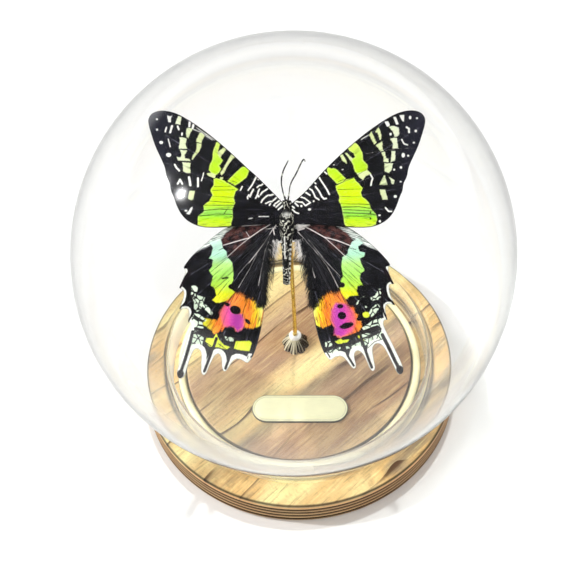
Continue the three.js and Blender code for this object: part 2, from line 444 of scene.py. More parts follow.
    def done(self, surface: Socket, **volume: Socket) -> Finish:
        """Ends the recipe with its output, which takes a surface and may take a Volume."""
        self.node("ShaderNodeOutputMaterial", {"Surface": surface, **volume})
        return self.material


@dataclass(frozen=True)
class OiledWood:
    """Turned hardwood with its grain running slantwise, paler on the ring than on the plateau.

    Wide stripes on the plateau are partly painted shadow. The base's points add painted shade and a painted
    highlight.
    """

    grain_turn: float = -42.0
    warp_grain: tuple = (0.016, 0.05, 0.05)
    cloud_grain: tuple = (0.024, 0.075, 0.075)
    fibre_grain: tuple = (0.10, 1.5, 1.5)
    cross_grain: tuple = (2.2, 0.9, 1.6)
    patch_grain: tuple = (0.035, 0.11, 0.11)
    bend: float = 20.0
    ring_step: float = 8.6
    pale: tuple = rgb(252, 234, 166)
    tan: tuple = rgb(232, 198, 138)
    deep: tuple = rgb(228, 186, 122)
    rose: tuple = rgb(202, 166, 130)
    brown: tuple = rgb(164, 126, 92)
    grey: tuple = rgb(138, 124, 104)
    line: tuple = rgb(70, 40, 20)
    # The bead's pale colour, also used for the painted highlight on the seat floor.
    bead: tuple = rgb(254, 246, 198)
    moulding: tuple = rgb(226, 174, 120)
    # Near-black of the painted shade in grooves and in lines round the seat.
    groove: tuple = rgb(16, 8, 5)

    def material(self) -> Finish:
        """Builds the nodes.

        Returns:
            The wood's material.
        """
        r = Recipe("oiled_wood")
        warp = r.noise(r.place(self.warp_grain, self.grain_turn), 1.0, 2)
        broad = r.noise(r.place(self.cloud_grain, self.grain_turn), 1.0, 3, 0.55)
        fibre = r.noise(r.place(self.fibre_grain, self.grain_turn), 1.0, 4, 0.7)
        cross = r.noise(r.place(self.cross_grain, self.grain_turn), 1.0, 3, 0.6)
        across = r.split(r.place((1, 1, 1), self.grain_turn))["Y"]
        bent = r.calc("MULTIPLY_ADD", warp, self.bend, across)
        year = r.calc("FRACT", r.calc("DIVIDE", bent, self.ring_step))
        shown = r.between(r.noise(r.place(self.patch_grain, self.grain_turn), 1.0, 1), 0.44, 0.60)
        late = r.calc("MULTIPLY", r.between(year, 0.45, 0.95), shown)
        edge = r.calc("MULTIPLY", r.between(year, 0.86, 0.96), shown)

        rim = r.ramp(
            broad, 0.25, 0.75, (0.36, self.pale), (0.48, self.tan), (0.60, self.deep), (0.73, self.grey),
        )
        clouds = r.ramp(
            broad, 0.25, 0.75, (0.30, self.pale), (0.42, self.tan), (0.52, self.brown),
            (0.62, self.grey), (0.72, self.tan),
        )
        # Wide stripes across the grain: partly the wood's figure, partly painted shadow of the moth on the
        # plateau.
        figure_and_painted_shadow = r.ramp(
            r.calc("MULTIPLY_ADD", warp, 9.0, across), -34.0, 36.0,
            (-29.0, self.tan), (-25.0, self.brown), (-20.0, self.brown), (-14.0, self.brown),
            (-9.5, self.rose), (-6.0, self.grey), (-3.0, self.tan), (1.5, self.pale), (5.0, self.tan),
            (8.5, self.brown), (15.0, self.brown), (21.0, self.rose), (26.0, self.tan), (31.0, self.pale),
        )
        colour = r.mix(r.value("zone"), rim, r.mix(0.30, figure_and_painted_shadow, clouds))
        colour = r.mix(r.calc("MULTIPLY", late, 0.38), colour, self.brown)
        light = r.calc("MULTIPLY_ADD", r.value("zone"), -0.20, 0.50)
        colour = r.laid(colour, fibre, (0.50, 0.70), light, self.pale)
        colour = r.laid(colour, fibre, (0.47, 0.30), 0.42, self.line)
        colour = r.laid(colour, cross, (0.50, 0.30), 0.20, self.line)
        colour = r.mix(r.calc("MULTIPLY", edge, 0.85), colour, self.line)
        colour = r.mix(r.calc("MULTIPLY", r.value("side"), 0.75), colour, self.moulding)
        # The bead's pale colour, and the painted highlight on the seat floor by the glass.
        colour = r.mix(r.calc("MULTIPLY", r.value("bead"), 0.85), colour, self.bead)
        # Painted shade: near-black where the groove value says.
        colour = r.mix(r.value("groove"), colour, self.groove)
        relief = r.calc("SUBTRACT", r.calc("MULTIPLY", fibre, 0.6), r.calc("MULTIPLY", edge, 0.5))
        rough = r.calc("MULTIPLY_ADD", fibre, 0.22, 0.36)
        return r.finished(
            Base_Color=colour, Roughness=rough, Specular_IOR_Level=0.35, Coat_Weight=0.12,
            Coat_Roughness=0.25, Normal=r.bump(relief, 0.05),
        )


@dataclass(frozen=True)
class ClearGlass:
    """Glass with a tint in its depth, painted darker towards its rim and with a painted white veil low down.

    Lamps shine straight through.
    """

    name: str
    tint: tuple
    density: float
    ior: float = 1.45
    roughness: float = 0.0
    clear: float = 1.0
    # Share of the painted white veil, which stands for a reflection low down.
    painted_veil: float = 0.22
    thin: tuple = (0.965, 0.97, 0.965, 1)
    # Colour of the painted veil.
    painted_light: tuple = (0.9, 0.9, 0.9, 1)
    edge: tuple = (
        (0.40, 1.0), (0.56, 0.97), (0.69, 0.92), (0.78, 0.86), (0.86, 0.68), (0.92, 0.42), (1.0, 0.10),
    )

    def material(self) -> Finish:
        """Builds the nodes.

        Returns:
            The glass material.
        """
        r = Recipe(self.name)
        facing = r.node("ShaderNodeLayerWeight", {"Blend": 0.5}).outputs["Facing"]
        # Painted shade: darker towards the rim as seen, but hardly at all low down on the lit left.
        shade = r.ramp(facing, 0.0, 1.0, *((at, (v, v, v, 1)) for at, v in self.edge))
        spot = r.split(r.place())
        lit = r.between(r.calc("MULTIPLY_ADD", spot["X"], 0.45, spot["Z"]), 78.0, 42.0)
        shade = r.mix(r.calc("MULTIPLY", lit, 0.90), shade, (1, 1, 1, 1))
        # Painted reflection: a white veil low down, stronger on the left, of translucent and diffuse white.
        painted_veil = r.calc("MULTIPLY", r.between(facing, 0.42, 0.75), r.between(spot["Z"], 52.0, 34.0))
        leftward = r.calc("MULTIPLY_ADD", r.between(spot["X"], 20.0, -14.0), 0.60, 0.40)
        painted_veil = r.calc("MULTIPLY", r.calc("MULTIPLY", painted_veil, leftward), self.painted_veil)
        kinds = ("ShaderNodeBsdfTranslucent", "ShaderNodeBsdfDiffuse")
        layers = [r.node(kind, {"Color": self.painted_light}).outputs[0] for kind in kinds]
        painted_light = r.node("ShaderNodeAddShader", dict(enumerate(layers))).outputs[0]
        glass = r.surface(
            Base_Color=shade, Roughness=self.roughness, IOR=self.ior, Transmission_Weight=self.clear,
            Coat_Weight=0.2, Coat_Roughness=0.12,
        )
        veiled = r.either(painted_veil, glass, painted_light)
        clear = r.node("ShaderNodeBsdfTransparent", {"Color": self.thin}).outputs[0]
        shadow = r.node("ShaderNodeLightPath").outputs["Is Shadow Ray"]
        depth = r.node("ShaderNodeVolumeAbsorption", {"Color": self.tint, "Density": self.density})
        return r.done(r.either(shadow, veiled, clear), Volume=depth.outputs[0])


@dataclass(frozen=True)
class Brass:
    """Brass with fine drawn or brushed lines, clouds of darker tarnish and, where asked, painted shade."""

    name: str
    bright: tuple
    dark: tuple
    roughness: float
    metallic: float
    brush: tuple[float, float, float]
    tarnish: float = 0.35
    lines: float = 0.22
    # Whether the piece's points carry painted shade.
    crease: bool = False

    def material(self) -> Finish:
        """Builds the nodes.

        Returns:
            The brass's material.
        """
        r = Recipe(self.name)
        lines = r.noise(r.place(self.brush), 1.0, 3, 0.6)
        cloud = r.noise(r.place((0.35, 0.35, 0.35)), 1.0, 3, 0.6)
        share = r.between(cloud, 0.62, 0.30)
        colour = r.mix(r.calc("MULTIPLY", share, self.tarnish), self.bright, self.dark)
        colour = r.laid(colour, lines, (0.55, 0.35), self.lines, self.dark)
        # Painted shade from the points: the plaque's edge and cut line, the cap's folds and its shaded side.
        if self.crease:
            colour = r.mix(r.value("crease"), colour, self.dark)
        rough = r.calc("MULTIPLY_ADD", lines, 0.14, self.roughness)
        return r.finished(
            Base_Color=colour, Metallic=self.metallic, Roughness=rough, Normal=r.bump(lines, 0.008),
        )


@dataclass(frozen=True)
class Chitin:
    """The moth's black body under its hairs, with whorls of painted highlight and its points' pale marks."""

    name: str = "black_chitin"
    dark: tuple = rgb(5, 5, 6)
    # Colour of the painted highlight whorls.
    painted_light: tuple = rgb(222, 220, 204)

    def material(self) -> Finish:
        """Builds the nodes.

        Returns:
            The body's material.
        """
        r = Recipe(self.name)
        grain = r.noise(r.place((3.2, 3.2, 3.2)), 1.0, 4, 0.6)
        swirl = r.noise(r.place((0.62, 0.42, 0.62)), 1.0, 1, 0.5)
        # Painted highlight: pale whorls over the black, for the shine of the chitin.
        painted_curl = r.between(r.calc("SINE", r.calc("MULTIPLY", swirl, 30.0)), 0.70, 0.94)
        painted_curl = r.calc("MULTIPLY", painted_curl, r.between(grain, 0.36, 0.50))
        colour = r.mix(painted_curl, self.dark, self.painted_light)
        # Pale value: real pale marks on abdomen and hind legs, and painted highlights on thorax and abdomen.
        colour = r.mix(r.value("pale"), colour, rgb(236, 236, 230))
        rough = r.calc("MULTIPLY_ADD", grain, 0.3, 0.30)
        return r.finished(
            Base_Color=colour, Roughness=rough, Specular_IOR_Level=0.22, Normal=r.bump(grain, 0.09),
        )


@dataclass(frozen=True)
class Hair:
    """Fine hair whose shade goes from one colour to another by each hair's own tone."""

    name: str
    dark: tuple
    light: tuple
    sheen: float = 0.3

    def material(self) -> Finish:
        """Builds the nodes.

        Returns:
            The hair's material.
        """
        r = Recipe(self.name)
        mottle = r.noise(r.place((2.0, 2.0, 2.0)), 1.0, 2)
        tone = r.calc("MULTIPLY_ADD", r.calc("SUBTRACT", mottle, 0.5), 0.4, r.value("tone"), clamp=True)
        colour = r.mix(tone, self.dark, self.light)
        return r.finished(
            Base_Color=colour, Roughness=0.5, Specular_IOR_Level=0.25, Sheen_Weight=self.sheen,
        )


class WingFinish:
    """The scaled wing: black ground with fields whose edges run out along the rows of scales."""

    black = rgb(9, 8, 11)
    slate = rgb(34, 33, 46)
    white = rgb(244, 244, 236)
    streak_net = (85, 0.30, 1)
    wide_net = (38, 0.10, 1)
    scale_net = (4.5, 4.5, 1)
    mottle_net = (0.7, 0.7, 1)
    rag_net = (1.7, 1.7, 1)

    def __init__(self, name: str) -> None:
        """Starts the recipe and the noises that both kinds of wing share.

        Args:
            name: The material's name.
        """
        self.r = Recipe(name)
        r = self.r
        self.spot = r.vector("wing_place")
        self.fan = r.vector("fan")
        self.x, self.y = (r.split(self.spot)[axis] for axis in "XY")
        self.streak = r.noise(r.stretched(self.fan, self.streak_net), 1.0, 3, 0.6)
        self.wide_streak = r.noise(r.stretched(self.fan, self.wide_net), 1.0, 3, 0.6)
        self.scales = r.noise(r.stretched(self.spot, self.scale_net), 1.0, 3, 0.6)
        self.mottle = r.noise(r.stretched(self.spot, self.mottle_net), 1.0, 3, 0.6)
        rag = r.noise(r.stretched(self.spot, self.rag_net), 1.0, 3, 0.7)
        self.wobble = r.calc("ADD", self.streak, rag)

    def field(self, name: str, soft: float = 0.12, rag: float = 0.45) -> Socket:
        """Where a field lies, 0 outside and 1 inside, with a ragged edge.

        Args:
            name: The field's distance on the wing, positive inside.
            soft: Width of the edge.
            rag: How far scales run past it.

        Returns:
            The field's share.
        """
        r = self.r
        shifted = r.calc("MULTIPLY_ADD", r.calc("SUBTRACT", self.wobble, 1.0), rag, r.value(name))
        return r.between(shifted, -soft, soft)

    def ground(self) -> Socket:
        """Black with slate cloud and faint rows along the veins.

        Returns:
            The ground colour.
        """
        r = self.r
        colour = r.laid(self.black, self.mottle, (0.42, 0.72), 0.45, self.slate)
        colour = r.laid(colour, self.wide_streak, (0.55, 0.74), 0.25, rgb(74, 74, 88))
        colour = r.laid(colour, self.scales, (0.66, 0.76), 0.40, rgb(170, 170, 190))
        angle = r.split(self.fan)["X"]
        crest = r.calc("ABSOLUTE", r.calc("SINE", r.calc("MULTIPLY", angle, 17.0)))
        vein = r.calc("MULTIPLY", r.between(crest, 0.10, 0.03), r.between(self.mottle, 0.40, 0.60))
        return r.mix(r.calc("MULTIPLY", vein, 0.45), colour, rgb(130, 130, 146))

    def filled(self, colour: Plug, name: str, paint: Plug, soft: float = 0.12, rag: float = 0.45) -> Socket:
        """Lays paint over the colour so far inside the field of that name."""
        return self.r.mix(self.field(name, soft, rag), colour, paint)

    def scaly(self, paint: Plug, light: float = 0.25, dark: float = 0.25) -> Socket:
        """A field's paint with paler and darker rows of scales in it.

        Args:
            paint: The plain paint.
            light: Share of the paler rows.
            dark: Weight of the darker rows.

        Returns:
            The paint with its rows.
        """
        r = self.r
        paler = r.laid(paint, self.streak, (0.55, 0.75), light, rgb(250, 252, 200))
        return r.laid(paler, self.wide_streak, (0.46, 0.30), dark * 1.6, rgb(50, 80, 8))

    def done(self, colour: Plug) -> Finish:
        """Ends the recipe: satin scales over a thin membrane.

        Args:
            colour: The finished colour.

        Returns:
            The material.
        """
        r = self.r
        height = r.calc("ADD", r.calc("MULTIPLY", self.scales, 0.5), self.streak)
        rough = r.calc("MULTIPLY_ADD", self.scales, 0.25, 0.42)
        return r.finished(
            Base_Color=colour, Roughness=rough, Specular_IOR_Level=0.16, Normal=r.bump(height, 0.03),
        )


class ForewingFinish(WingFinish):
    """Black with a lime band, pale bars towards the tip and a white zebra at the front edge."""

    def material(self) -> Finish:
        """Builds the nodes.

        Returns:
            The forewing's material.
        """
        r = self.r
        colour = self.ground()
        # Painted sheen: the ground turns bluer and lighter towards the tip.
        tip = r.between(self.x, 27.0, 36.0)
        colour = r.mix(r.calc("MULTIPLY", tip, 0.35), colour, rgb(52, 52, 70))
        lime = r.ramp(
            self.y, -2.0, 21.0,
            (-1.5, rgb(222, 244, 70)), (0.2, rgb(204, 246, 22)), (1.6, rgb(156, 232, 60)),
            (2.6, rgb(156, 224, 92)), (3.8, rgb(176, 234, 66)), (5.0, rgb(208, 244, 20)),
            (8.0, rgb(206, 246, 8)), (12.0, rgb(196, 236, 24)), (16.0, rgb(182, 226, 40)),
            (20.0, rgb(212, 236, 96)),
        )
        lime = r.laid(lime, self.scales, (0.48, 0.36), 0.35, rgb(120, 170, 10))
        lime = self.scaly(lime)
        edge = r.between(r.value("lime"), 0.50, 0.05)
        lime = r.mix(r.calc("MULTIPLY", edge, 0.35), lime, rgb(232, 246, 150))
        colour = self.filled(colour, "lime", lime)
        pale = r.ramp(
            self.x, 10.0, 33.0,
            (14.0, rgb(222, 230, 170)), (24.0, rgb(210, 220, 158)), (30.0, rgb(228, 234, 206)),
        )
        pale = self.scaly(pale, 0.35, 0.30)
        colour = self.filled(colour, "pale", pale)
        colour = self.filled(colour, "white", self.white, 0.10, 0.22)
        rows = r.noise(r.stretched(self.spot, (0.22, 3.2, 1)), 1.0, 3, 0.65)
        rows = r.calc("MULTIPLY", r.between(rows, 0.55, 0.63), r.between(self.y, 6.5, 4.0))
        rows = r.calc("MULTIPLY", rows, self.field("lime"))
        colour = r.mix(r.calc("MULTIPLY", rows, 0.75), colour, rgb(44, 76, 14))
        colour = self.filled(colour, "dark_vein", rgb(30, 46, 10), 0.10, 0.20)
        colour = r.mix(r.between(r.value("rim"), 0.30, 0.12), colour, self.black)
        return self.done(colour)


class HindwingFinish(WingFinish):
    """Black with a band from mint to yellow, an ember field round magenta and a white fringe."""

    def material(self) -> Finish:
        """Builds the nodes.

        Returns:
            The hindwing's material.
        """
        r = self.r
        colour = self.ground()
        maroon = r.mix(r.between(self.mottle, 0.38, 0.62), rgb(26, 14, 16), rgb(96, 58, 54))
        maroon = r.laid(maroon, self.wide_streak, (0.50, 0.36), 0.7, rgb(18, 10, 12))
        colour = self.filled(colour, "maroon", maroon, 0.8, 1.6)
        shine = r.calc("MULTIPLY", r.between(self.streak, 0.57, 0.70), r.between(self.y, -19.0, -9.0))
        colour = r.mix(r.calc("MULTIPLY", shine, 0.40), colour, rgb(128, 126, 136))
        band = r.ramp(
            self.y, -22.0, -2.0,
            (-21.5, rgb(240, 232, 44)), (-19.4, rgb(234, 238, 30)), (-17.4, rgb(196, 238, 70)),
            (-14.5, rgb(176, 238, 100)), (-11.5, rgb(186, 238, 130)), (-9.0, rgb(184, 238, 206)),
            (-6.0, rgb(206, 240, 226)), (-3.5, rgb(238, 244, 238)),
        )
        front = r.mix(r.between(self.streak, 0.56, 0.42), rgb(240, 244, 238), rgb(90, 110, 100))
        colour = self.filled(colour, "front", front, 0.30, 0.7)
        band = r.laid(band, self.scales, (0.50, 0.38), 0.40, rgb(70, 130, 60))
        colour = self.filled(colour, "band", self.scaly(band, 0.35, 0.40))
        ember = r.ramp(
            self.x, 5.5, 23.5,
            (6.0, rgb(250, 250, 160)), (7.7, rgb(248, 240, 60)), (8.9, rgb(250, 190, 30)),
            (10.2, rgb(250, 146, 28)), (14.0, rgb(246, 140, 60)), (17.4, rgb(248, 130, 50)),
            (19.6, rgb(250, 160, 40)), (21.2, rgb(230, 226, 44)),
        )
        ember = r.laid(ember, self.wide_streak, (0.50, 0.62), 0.70, rgb(238, 84, 50))
        ember = r.laid(ember, self.streak, (0.50, 0.38), 0.80, rgb(140, 40, 14))
        ember = r.laid(ember, self.scales, (0.58, 0.68), 0.45, rgb(255, 226, 130))
        softer = r.between(self.y, -25.0, -20.5)
        share = r.mix(softer, self.field("ember", 0.22, 0.90), self.field("ember", 0.70, 2.60))
        colour = r.mix(share, colour, ember)
        flush = r.ramp(
            self.x, 11.0, 18.0,
            (11.3, rgb(220, 84, 150)), (13.0, rgb(190, 62, 176)), (14.6, rgb(208, 66, 176)),
            (15.8, rgb(236, 84, 158)), (17.6, rgb(244, 110, 110)),
        )
        flush = r.laid(flush, self.scales, (0.50, 0.40), 0.65, rgb(120, 20, 90))
        flush = r.laid(flush, self.scales, (0.58, 0.68), 0.55, rgb(255, 190, 230))
        colour = self.filled(colour, "magenta", flush, 0.5, 0.9)
        colour = self.filled(colour, "lemon", self.scaly(rgb(224, 236, 60), 0.2, 0.2))
        net_place = r.stretched(self.spot, (0.54, 0.44, 1), 30.0)
        net = r.node("ShaderNodeTexVoronoi", {"Vector": net_place, "Scale": 1.0}, feature="DISTANCE_TO_EDGE")
        mint = self.scaly(rgb(222, 238, 214), 0.1, 0.25)
        mint = r.mix(r.between(net.outputs["Distance"], 0.085, 0.035), mint, self.black)
        colour = self.filled(colour, "pale", mint)
        fringe = r.mix(r.between(self.streak, 0.42, 0.66), rgb(232, 234, 222), rgb(254, 254, 250))
        colour = self.filled(colour, "fringe", fringe, 0.10, 0.20)
        hem = r.calc("MULTIPLY", r.between(r.value("rim"), 0.22, 0.04), 0.6)
        colour = r.mix(hem, colour, rgb(84, 84, 76))
        colour = self.filled(colour, "spot", rgb(22, 12, 18), 0.10, 0.25)
        colour = self.filled(colour, "dark_vein", rgb(30, 22, 12), 0.08, 0.16)
        colour = self.filled(colour, "white", rgb(244, 236, 232), 0.09, 0.12)
        return self.done(colour)


# ---------------------------------------------------------------------------------------------
# Base, globe and fittings
# ---------------------------------------------------------------------------------------------


@dataclass
class WoodBase:
    """The turned base: beaded side, ring round the seat for the glass, raised bead and plateau.

    Painted shade lies in its grooves and in lines round the seat.
    """

    radius: float = 47.5
    thick: float = 9.6
    edge_round: float = 0.8
    groove_heights: tuple[float, ...] = (1.8, 3.6, 5.4, 7.1)
    groove_depth: float = 0.9
    seat_outer: float = 40.0
    seat_inner: float = 37.2
    seat_depth: float = 1.5
    plateau_radius: float = 34.3
    plateau_rise: float = 2.5
    bead_rise: float = 1.9
    # How far outside the seat the painted shadow line lies.
    painted_shadow_offset: float = 1.3
    ring_steps: tuple[float, ...] = (3.5, 2.9, 2.6, 2.3, 2.0, 1.7, 1.4, 1.1, 0.9, 0.7, 0.5)
    rib_count: int = 150
    rib_height: float = 0.07
    segments: int = 256

    def side(self) -> np.ndarray:
        """The side's beads, each half a circle pressed flat between two grooves.

        Returns:
            Points (r, z) from the foot up.
        """
        marks = [0.5, *self.groove_heights, self.thick - self.edge_round]
        t = np.linspace(0, 1, 17)
        beads = [
            np.stack([
                self.radius - self.groove_depth * (1 - np.sin(math.pi * t) ** 0.7),
                low + (high - low) * t,
            ], -1)
            for low, high in zip(marks, marks[1:])
        ]
        return np.concatenate(beads)

    def profile(self) -> np.ndarray:
        """Half of the base's section, from the middle of its underside to the middle of its top.

        Returns:
            Points (r, z).
        """
        top = self.thick
        seat = top - self.seat_depth
        shelf = top + self.plateau_rise
        foot = [[0, 0], [self.radius * 0.6, 0], [self.radius - 1.2, 0]]
        edge = arc(self.radius - self.edge_round, top - self.edge_round, self.edge_round, 0, 90, 8)
        ring = [[self.seat_outer + out, top] for out in self.ring_steps]
        lip = arc(self.seat_outer + 0.4, top - 0.4, 0.4, 90, 180, 5)
        across = np.linspace(self.seat_outer, self.seat_inner, 12)
        floor = np.column_stack([np.append(across, self.seat_inner), np.append(np.full(12, seat), top + 0.2)])
        middle = (self.seat_inner + self.plateau_radius + 0.35) / 2
        half = (self.seat_inner - self.plateau_radius - 0.35) / 2
        angle = np.radians(np.linspace(8, 172, 17))
        rise = self.bead_rise - 0.2
        bead = np.stack([middle + half * np.cos(angle), top + 0.2 + rise * np.sin(angle) ** 0.6], -1)
        valley = [[self.plateau_radius + 0.12, top + 0.9], [self.plateau_radius, top + 1.3]]
        brow = arc(self.plateau_radius - 0.45, shelf - 0.45, 0.45, 0, 90, 6)
        deck = np.stack([np.linspace(self.plateau_radius - 1.5, 0, 12), np.full(12, shelf)], -1)
        return np.concatenate([foot, self.side(), edge, ring, lip, floor, bead, valley, brow, deck])

    def build(self, finish: Finish) -> None:
        """Turns the base and marks its zones for the finish, painted shade and painted highlight among them.

        Args:
            finish: The wood.
        """
        grid = turned_grid(self.profile(), self.segments)
        radius = np.hypot(grid[..., 0], grid[..., 1])
        angle = np.arctan2(grid[..., 1], grid[..., 0])
        on_bead = (radius > self.plateau_radius + 0.1) & (radius < self.seat_inner + 0.01)
        on_bead &= grid[..., 2] > self.thick
        ribs = self.rib_height * np.cos(angle * self.rib_count) * np.clip(np.cos(angle - 0.15) - 0.35, 0, 1)
        grid[..., 2] += np.where(on_bead, ribs, 0)
        shell = skin(grid)
        radius = np.hypot(shell.points[:, 0], shell.points[:, 1])
        height = shell.points[:, 2]
        low = height < self.thick - self.edge_round * 0.9
        outer = radius > self.seat_outer + 1
        away = np.clip((shell.points[:, 1] / np.maximum(radius, 1) + 0.92) / 0.45, 0, 1)
        on_bead = (radius > self.plateau_radius + 0.2) & (radius < self.seat_inner + 0.02)
        # Painted highlight: a band of the seat floor next to the glass, fading towards the front.
        shine = (radius > self.seat_outer - 1.1) & (radius < self.seat_outer - 0.1)
        shell.values = {
            "zone": (radius < self.plateau_radius + 0.05) * 1.0,
            # bead: the bead's own pale colour, plus the painted highlight on the seat floor.
            "bead": on_bead * 1.0 + shine * away,
            "side": (low & outer) * 1.0,
            # groove: painted shade in grooves and in lines round the seat.
            "groove": self.painted_shade_lines(radius, height, low & outer, away),
        }
        shell.piece("turned_base", Slot.WOOD, finish, "wood_base")

    def painted_shade_lines(
        self, radius: np.ndarray, height: np.ndarray, side: np.ndarray, away: np.ndarray
    ) -> np.ndarray:
        """Painted shade at each point: most in the side's grooves, by the plateau, along the ring's two edges
        and in a painted shadow line just outside the seat.

        Each line is a bell over the distance from its middle. The seat's lines fade towards the front.

        Args:
            radius: Distance from the axis.
            height: Height over the underside.
            side: Whether the point lies on the moulded side.
            away: From 0 at the front to 1 at the sides and the back.

        Returns:
            A share of painted shade for each point.
        """
        grooves = np.array([0.3, *self.groove_heights]) - 0.18
        in_side = bell(height[:, None], grooves, 0.52).max(1) * side
        valley = bell(radius, self.plateau_radius + 0.15, 0.30) * (height < self.thick + 2.3)
        # Painted shadow at the seat's lip and in a line just outside it, weaker at the front.
        lip = 0.95 * away * bell(radius, self.seat_outer + 0.18, 0.36) * (height > self.thick - 1.2)
        outer_shadow_line = 0.95 * away * bell(radius, self.seat_outer + self.painted_shadow_offset, 0.60)
        foot = (0.2 + 0.6 * away) * bell(radius, self.seat_inner, 0.16)
        brow = 0.85 * bell(np.hypot(radius - self.radius, height - self.thick), 0.33, 0.30)
        return np.clip(in_side + valley + lip + outer_shadow_line + foot + brow, 0, 0.96)


@dataclass
class BlownGlobe:
    """The globe: a sphere's wall that turns by a fillet into a short neck with a rounded lip."""

    radius: float = 60.0
    centre: float = 66.1
    wall: float = 0.7
    neck: float = 39.4
    fillet: float = 4.0
    foot: float = 8.1
    segments: int = 240
    steps: int = 130

    def side(self, inset: float) -> np.ndarray:
        """The outer surface, or the inner one a wall's inset away, from the neck up to the pole.

        Args:
            inset: How far inside the outer surface.

        Returns:
            Points (r, z).
        """
        across = self.neck + self.fillet
        drop = math.sqrt((self.radius + self.fillet) ** 2 - across**2)
        meet = math.degrees(math.atan2(-drop, across))
        sphere = arc(0, self.centre, self.radius - inset, meet, 90, self.steps)
        sphere[-1, 0] = 0
        fillet = arc(across, self.centre - drop, self.fillet + inset, 180, 180 + meet, 14)
        start = [[self.neck - inset, self.foot + self.wall / 2]]
        return np.concatenate([start, fillet, sphere[1:]])

    def build(self, finish: Finish) -> None:
        """Blows the globe: inner surface down, lip round, outer surface up.

        Args:
            finish: The clear glass.
        """
        lip = arc(self.neck - self.wall / 2, self.foot + self.wall / 2, self.wall / 2, 180, 360, 8)
        profile = np.concatenate([self.side(self.wall)[::-1], lip[1:-1], self.side(0)])
        skin(turned_grid(profile, self.segments)).piece("blown_globe", Slot.GLOBE, finish, "glass_globe")


@dataclass
class Plaque:
    """A thin plate with round ends and a soft edge, left bare."""

    length: float = 28.6
    width: float = 9.2
    thick: float = 0.8
    place: tuple[float, float, float] = (-0.3, -17.2, 12.1)
    turn: float = -3.2
    bevel: float = 0.28
    border: float = 0.75
    points: int = 96

    def rim(self, inset: float) -> np.ndarray:
        """The outline moved in by an inset: two straight sides joined by half circles.

        Args:
            inset: How far the rim lies inside the outline.

        Returns:
            Points (x, y).
        """
        end = self.width / 2 - inset
        middle = self.length / 2 - self.width / 2
        right = arc(middle, 0, end, -90, 90, self.points // 2 - 1)
        left = arc(-middle, 0, end, 90, 270, self.points // 2 - 1)
        return np.concatenate([right, left])

    def build(self, finish: Finish) -> None:
        """Lays rims of growing inset one above the other, with a fine line cut inside the edge.

        Args:
            finish: The plate's metal.
        """
        b, top = self.bevel, self.thick
        line = self.border
        steps = [
            (0.1, 0.0), (0.0, 0.1), (0.0, top - b), (b * 0.3, top - b * 0.3), (b, top),
            (line - 0.1, top), (line - 0.04, top - 0.05), (line + 0.08, top - 0.05), (line + 0.14, top),
            (self.width * 0.3, top), (self.width * 0.45, top),
        ]
        rings = [np.column_stack([self.rim(inset), np.full(self.points, height)]) for inset, height in steps]
        spine = np.column_stack([self.rim(self.width / 2 - 1e-4), np.full(self.points, top)])
        under = np.column_stack([self.rim(self.width / 2 - 1e-4), np.zeros(self.points)])
        grid = np.stack([under, *rings, spine])
        cos, sin = math.cos(math.radians(self.turn)), math.sin(math.radians(self.turn))
        turn = np.array([[cos, sin, 0], [-sin, cos, 0], [0, 0, 1]])
        grid = grid @ turn + np.array(self.place)
        shell = self.capped(skin(grid), len(grid))
        # Painted shade: underside, sides and bevel dark all round, and the cut line a little dark.
        dark = np.array([1, 1, 1, 1, 0.95, 0.15, 0, 0.3, 0.3, 0, 0, 0, 0])
        shell.values = {"crease": np.repeat(dark, self.points)}
        shell.piece("bare_plaque", Slot.PLAQUE, finish, "name_plaque")

    def capped(self, shell: Shell, rows: int) -> Shell:
        """Closes the slits along the spine, where the innermost rims fold onto themselves.

        Args:
            shell: The plate with its two open slits.
            rows: How many rims it has.

        Returns:
            The closed plate.
        """
        pairs = np.arange(self.points // 2 - 1)
        faces = []
        for start, flip in ((0, True), ((rows - 1) * self.points, False)):
            a, b = start + pairs, start + pairs + 1
            c, d = start + self.points - 2 - pairs, start + self.points - 1 - pairs
            quads = np.stack([a, b, c, d], -1)
            faces.append(quads[:, ::-1] if flip else quads)
        shell.quads = np.concatenate([shell.quads, *faces])
        return shell.outward()


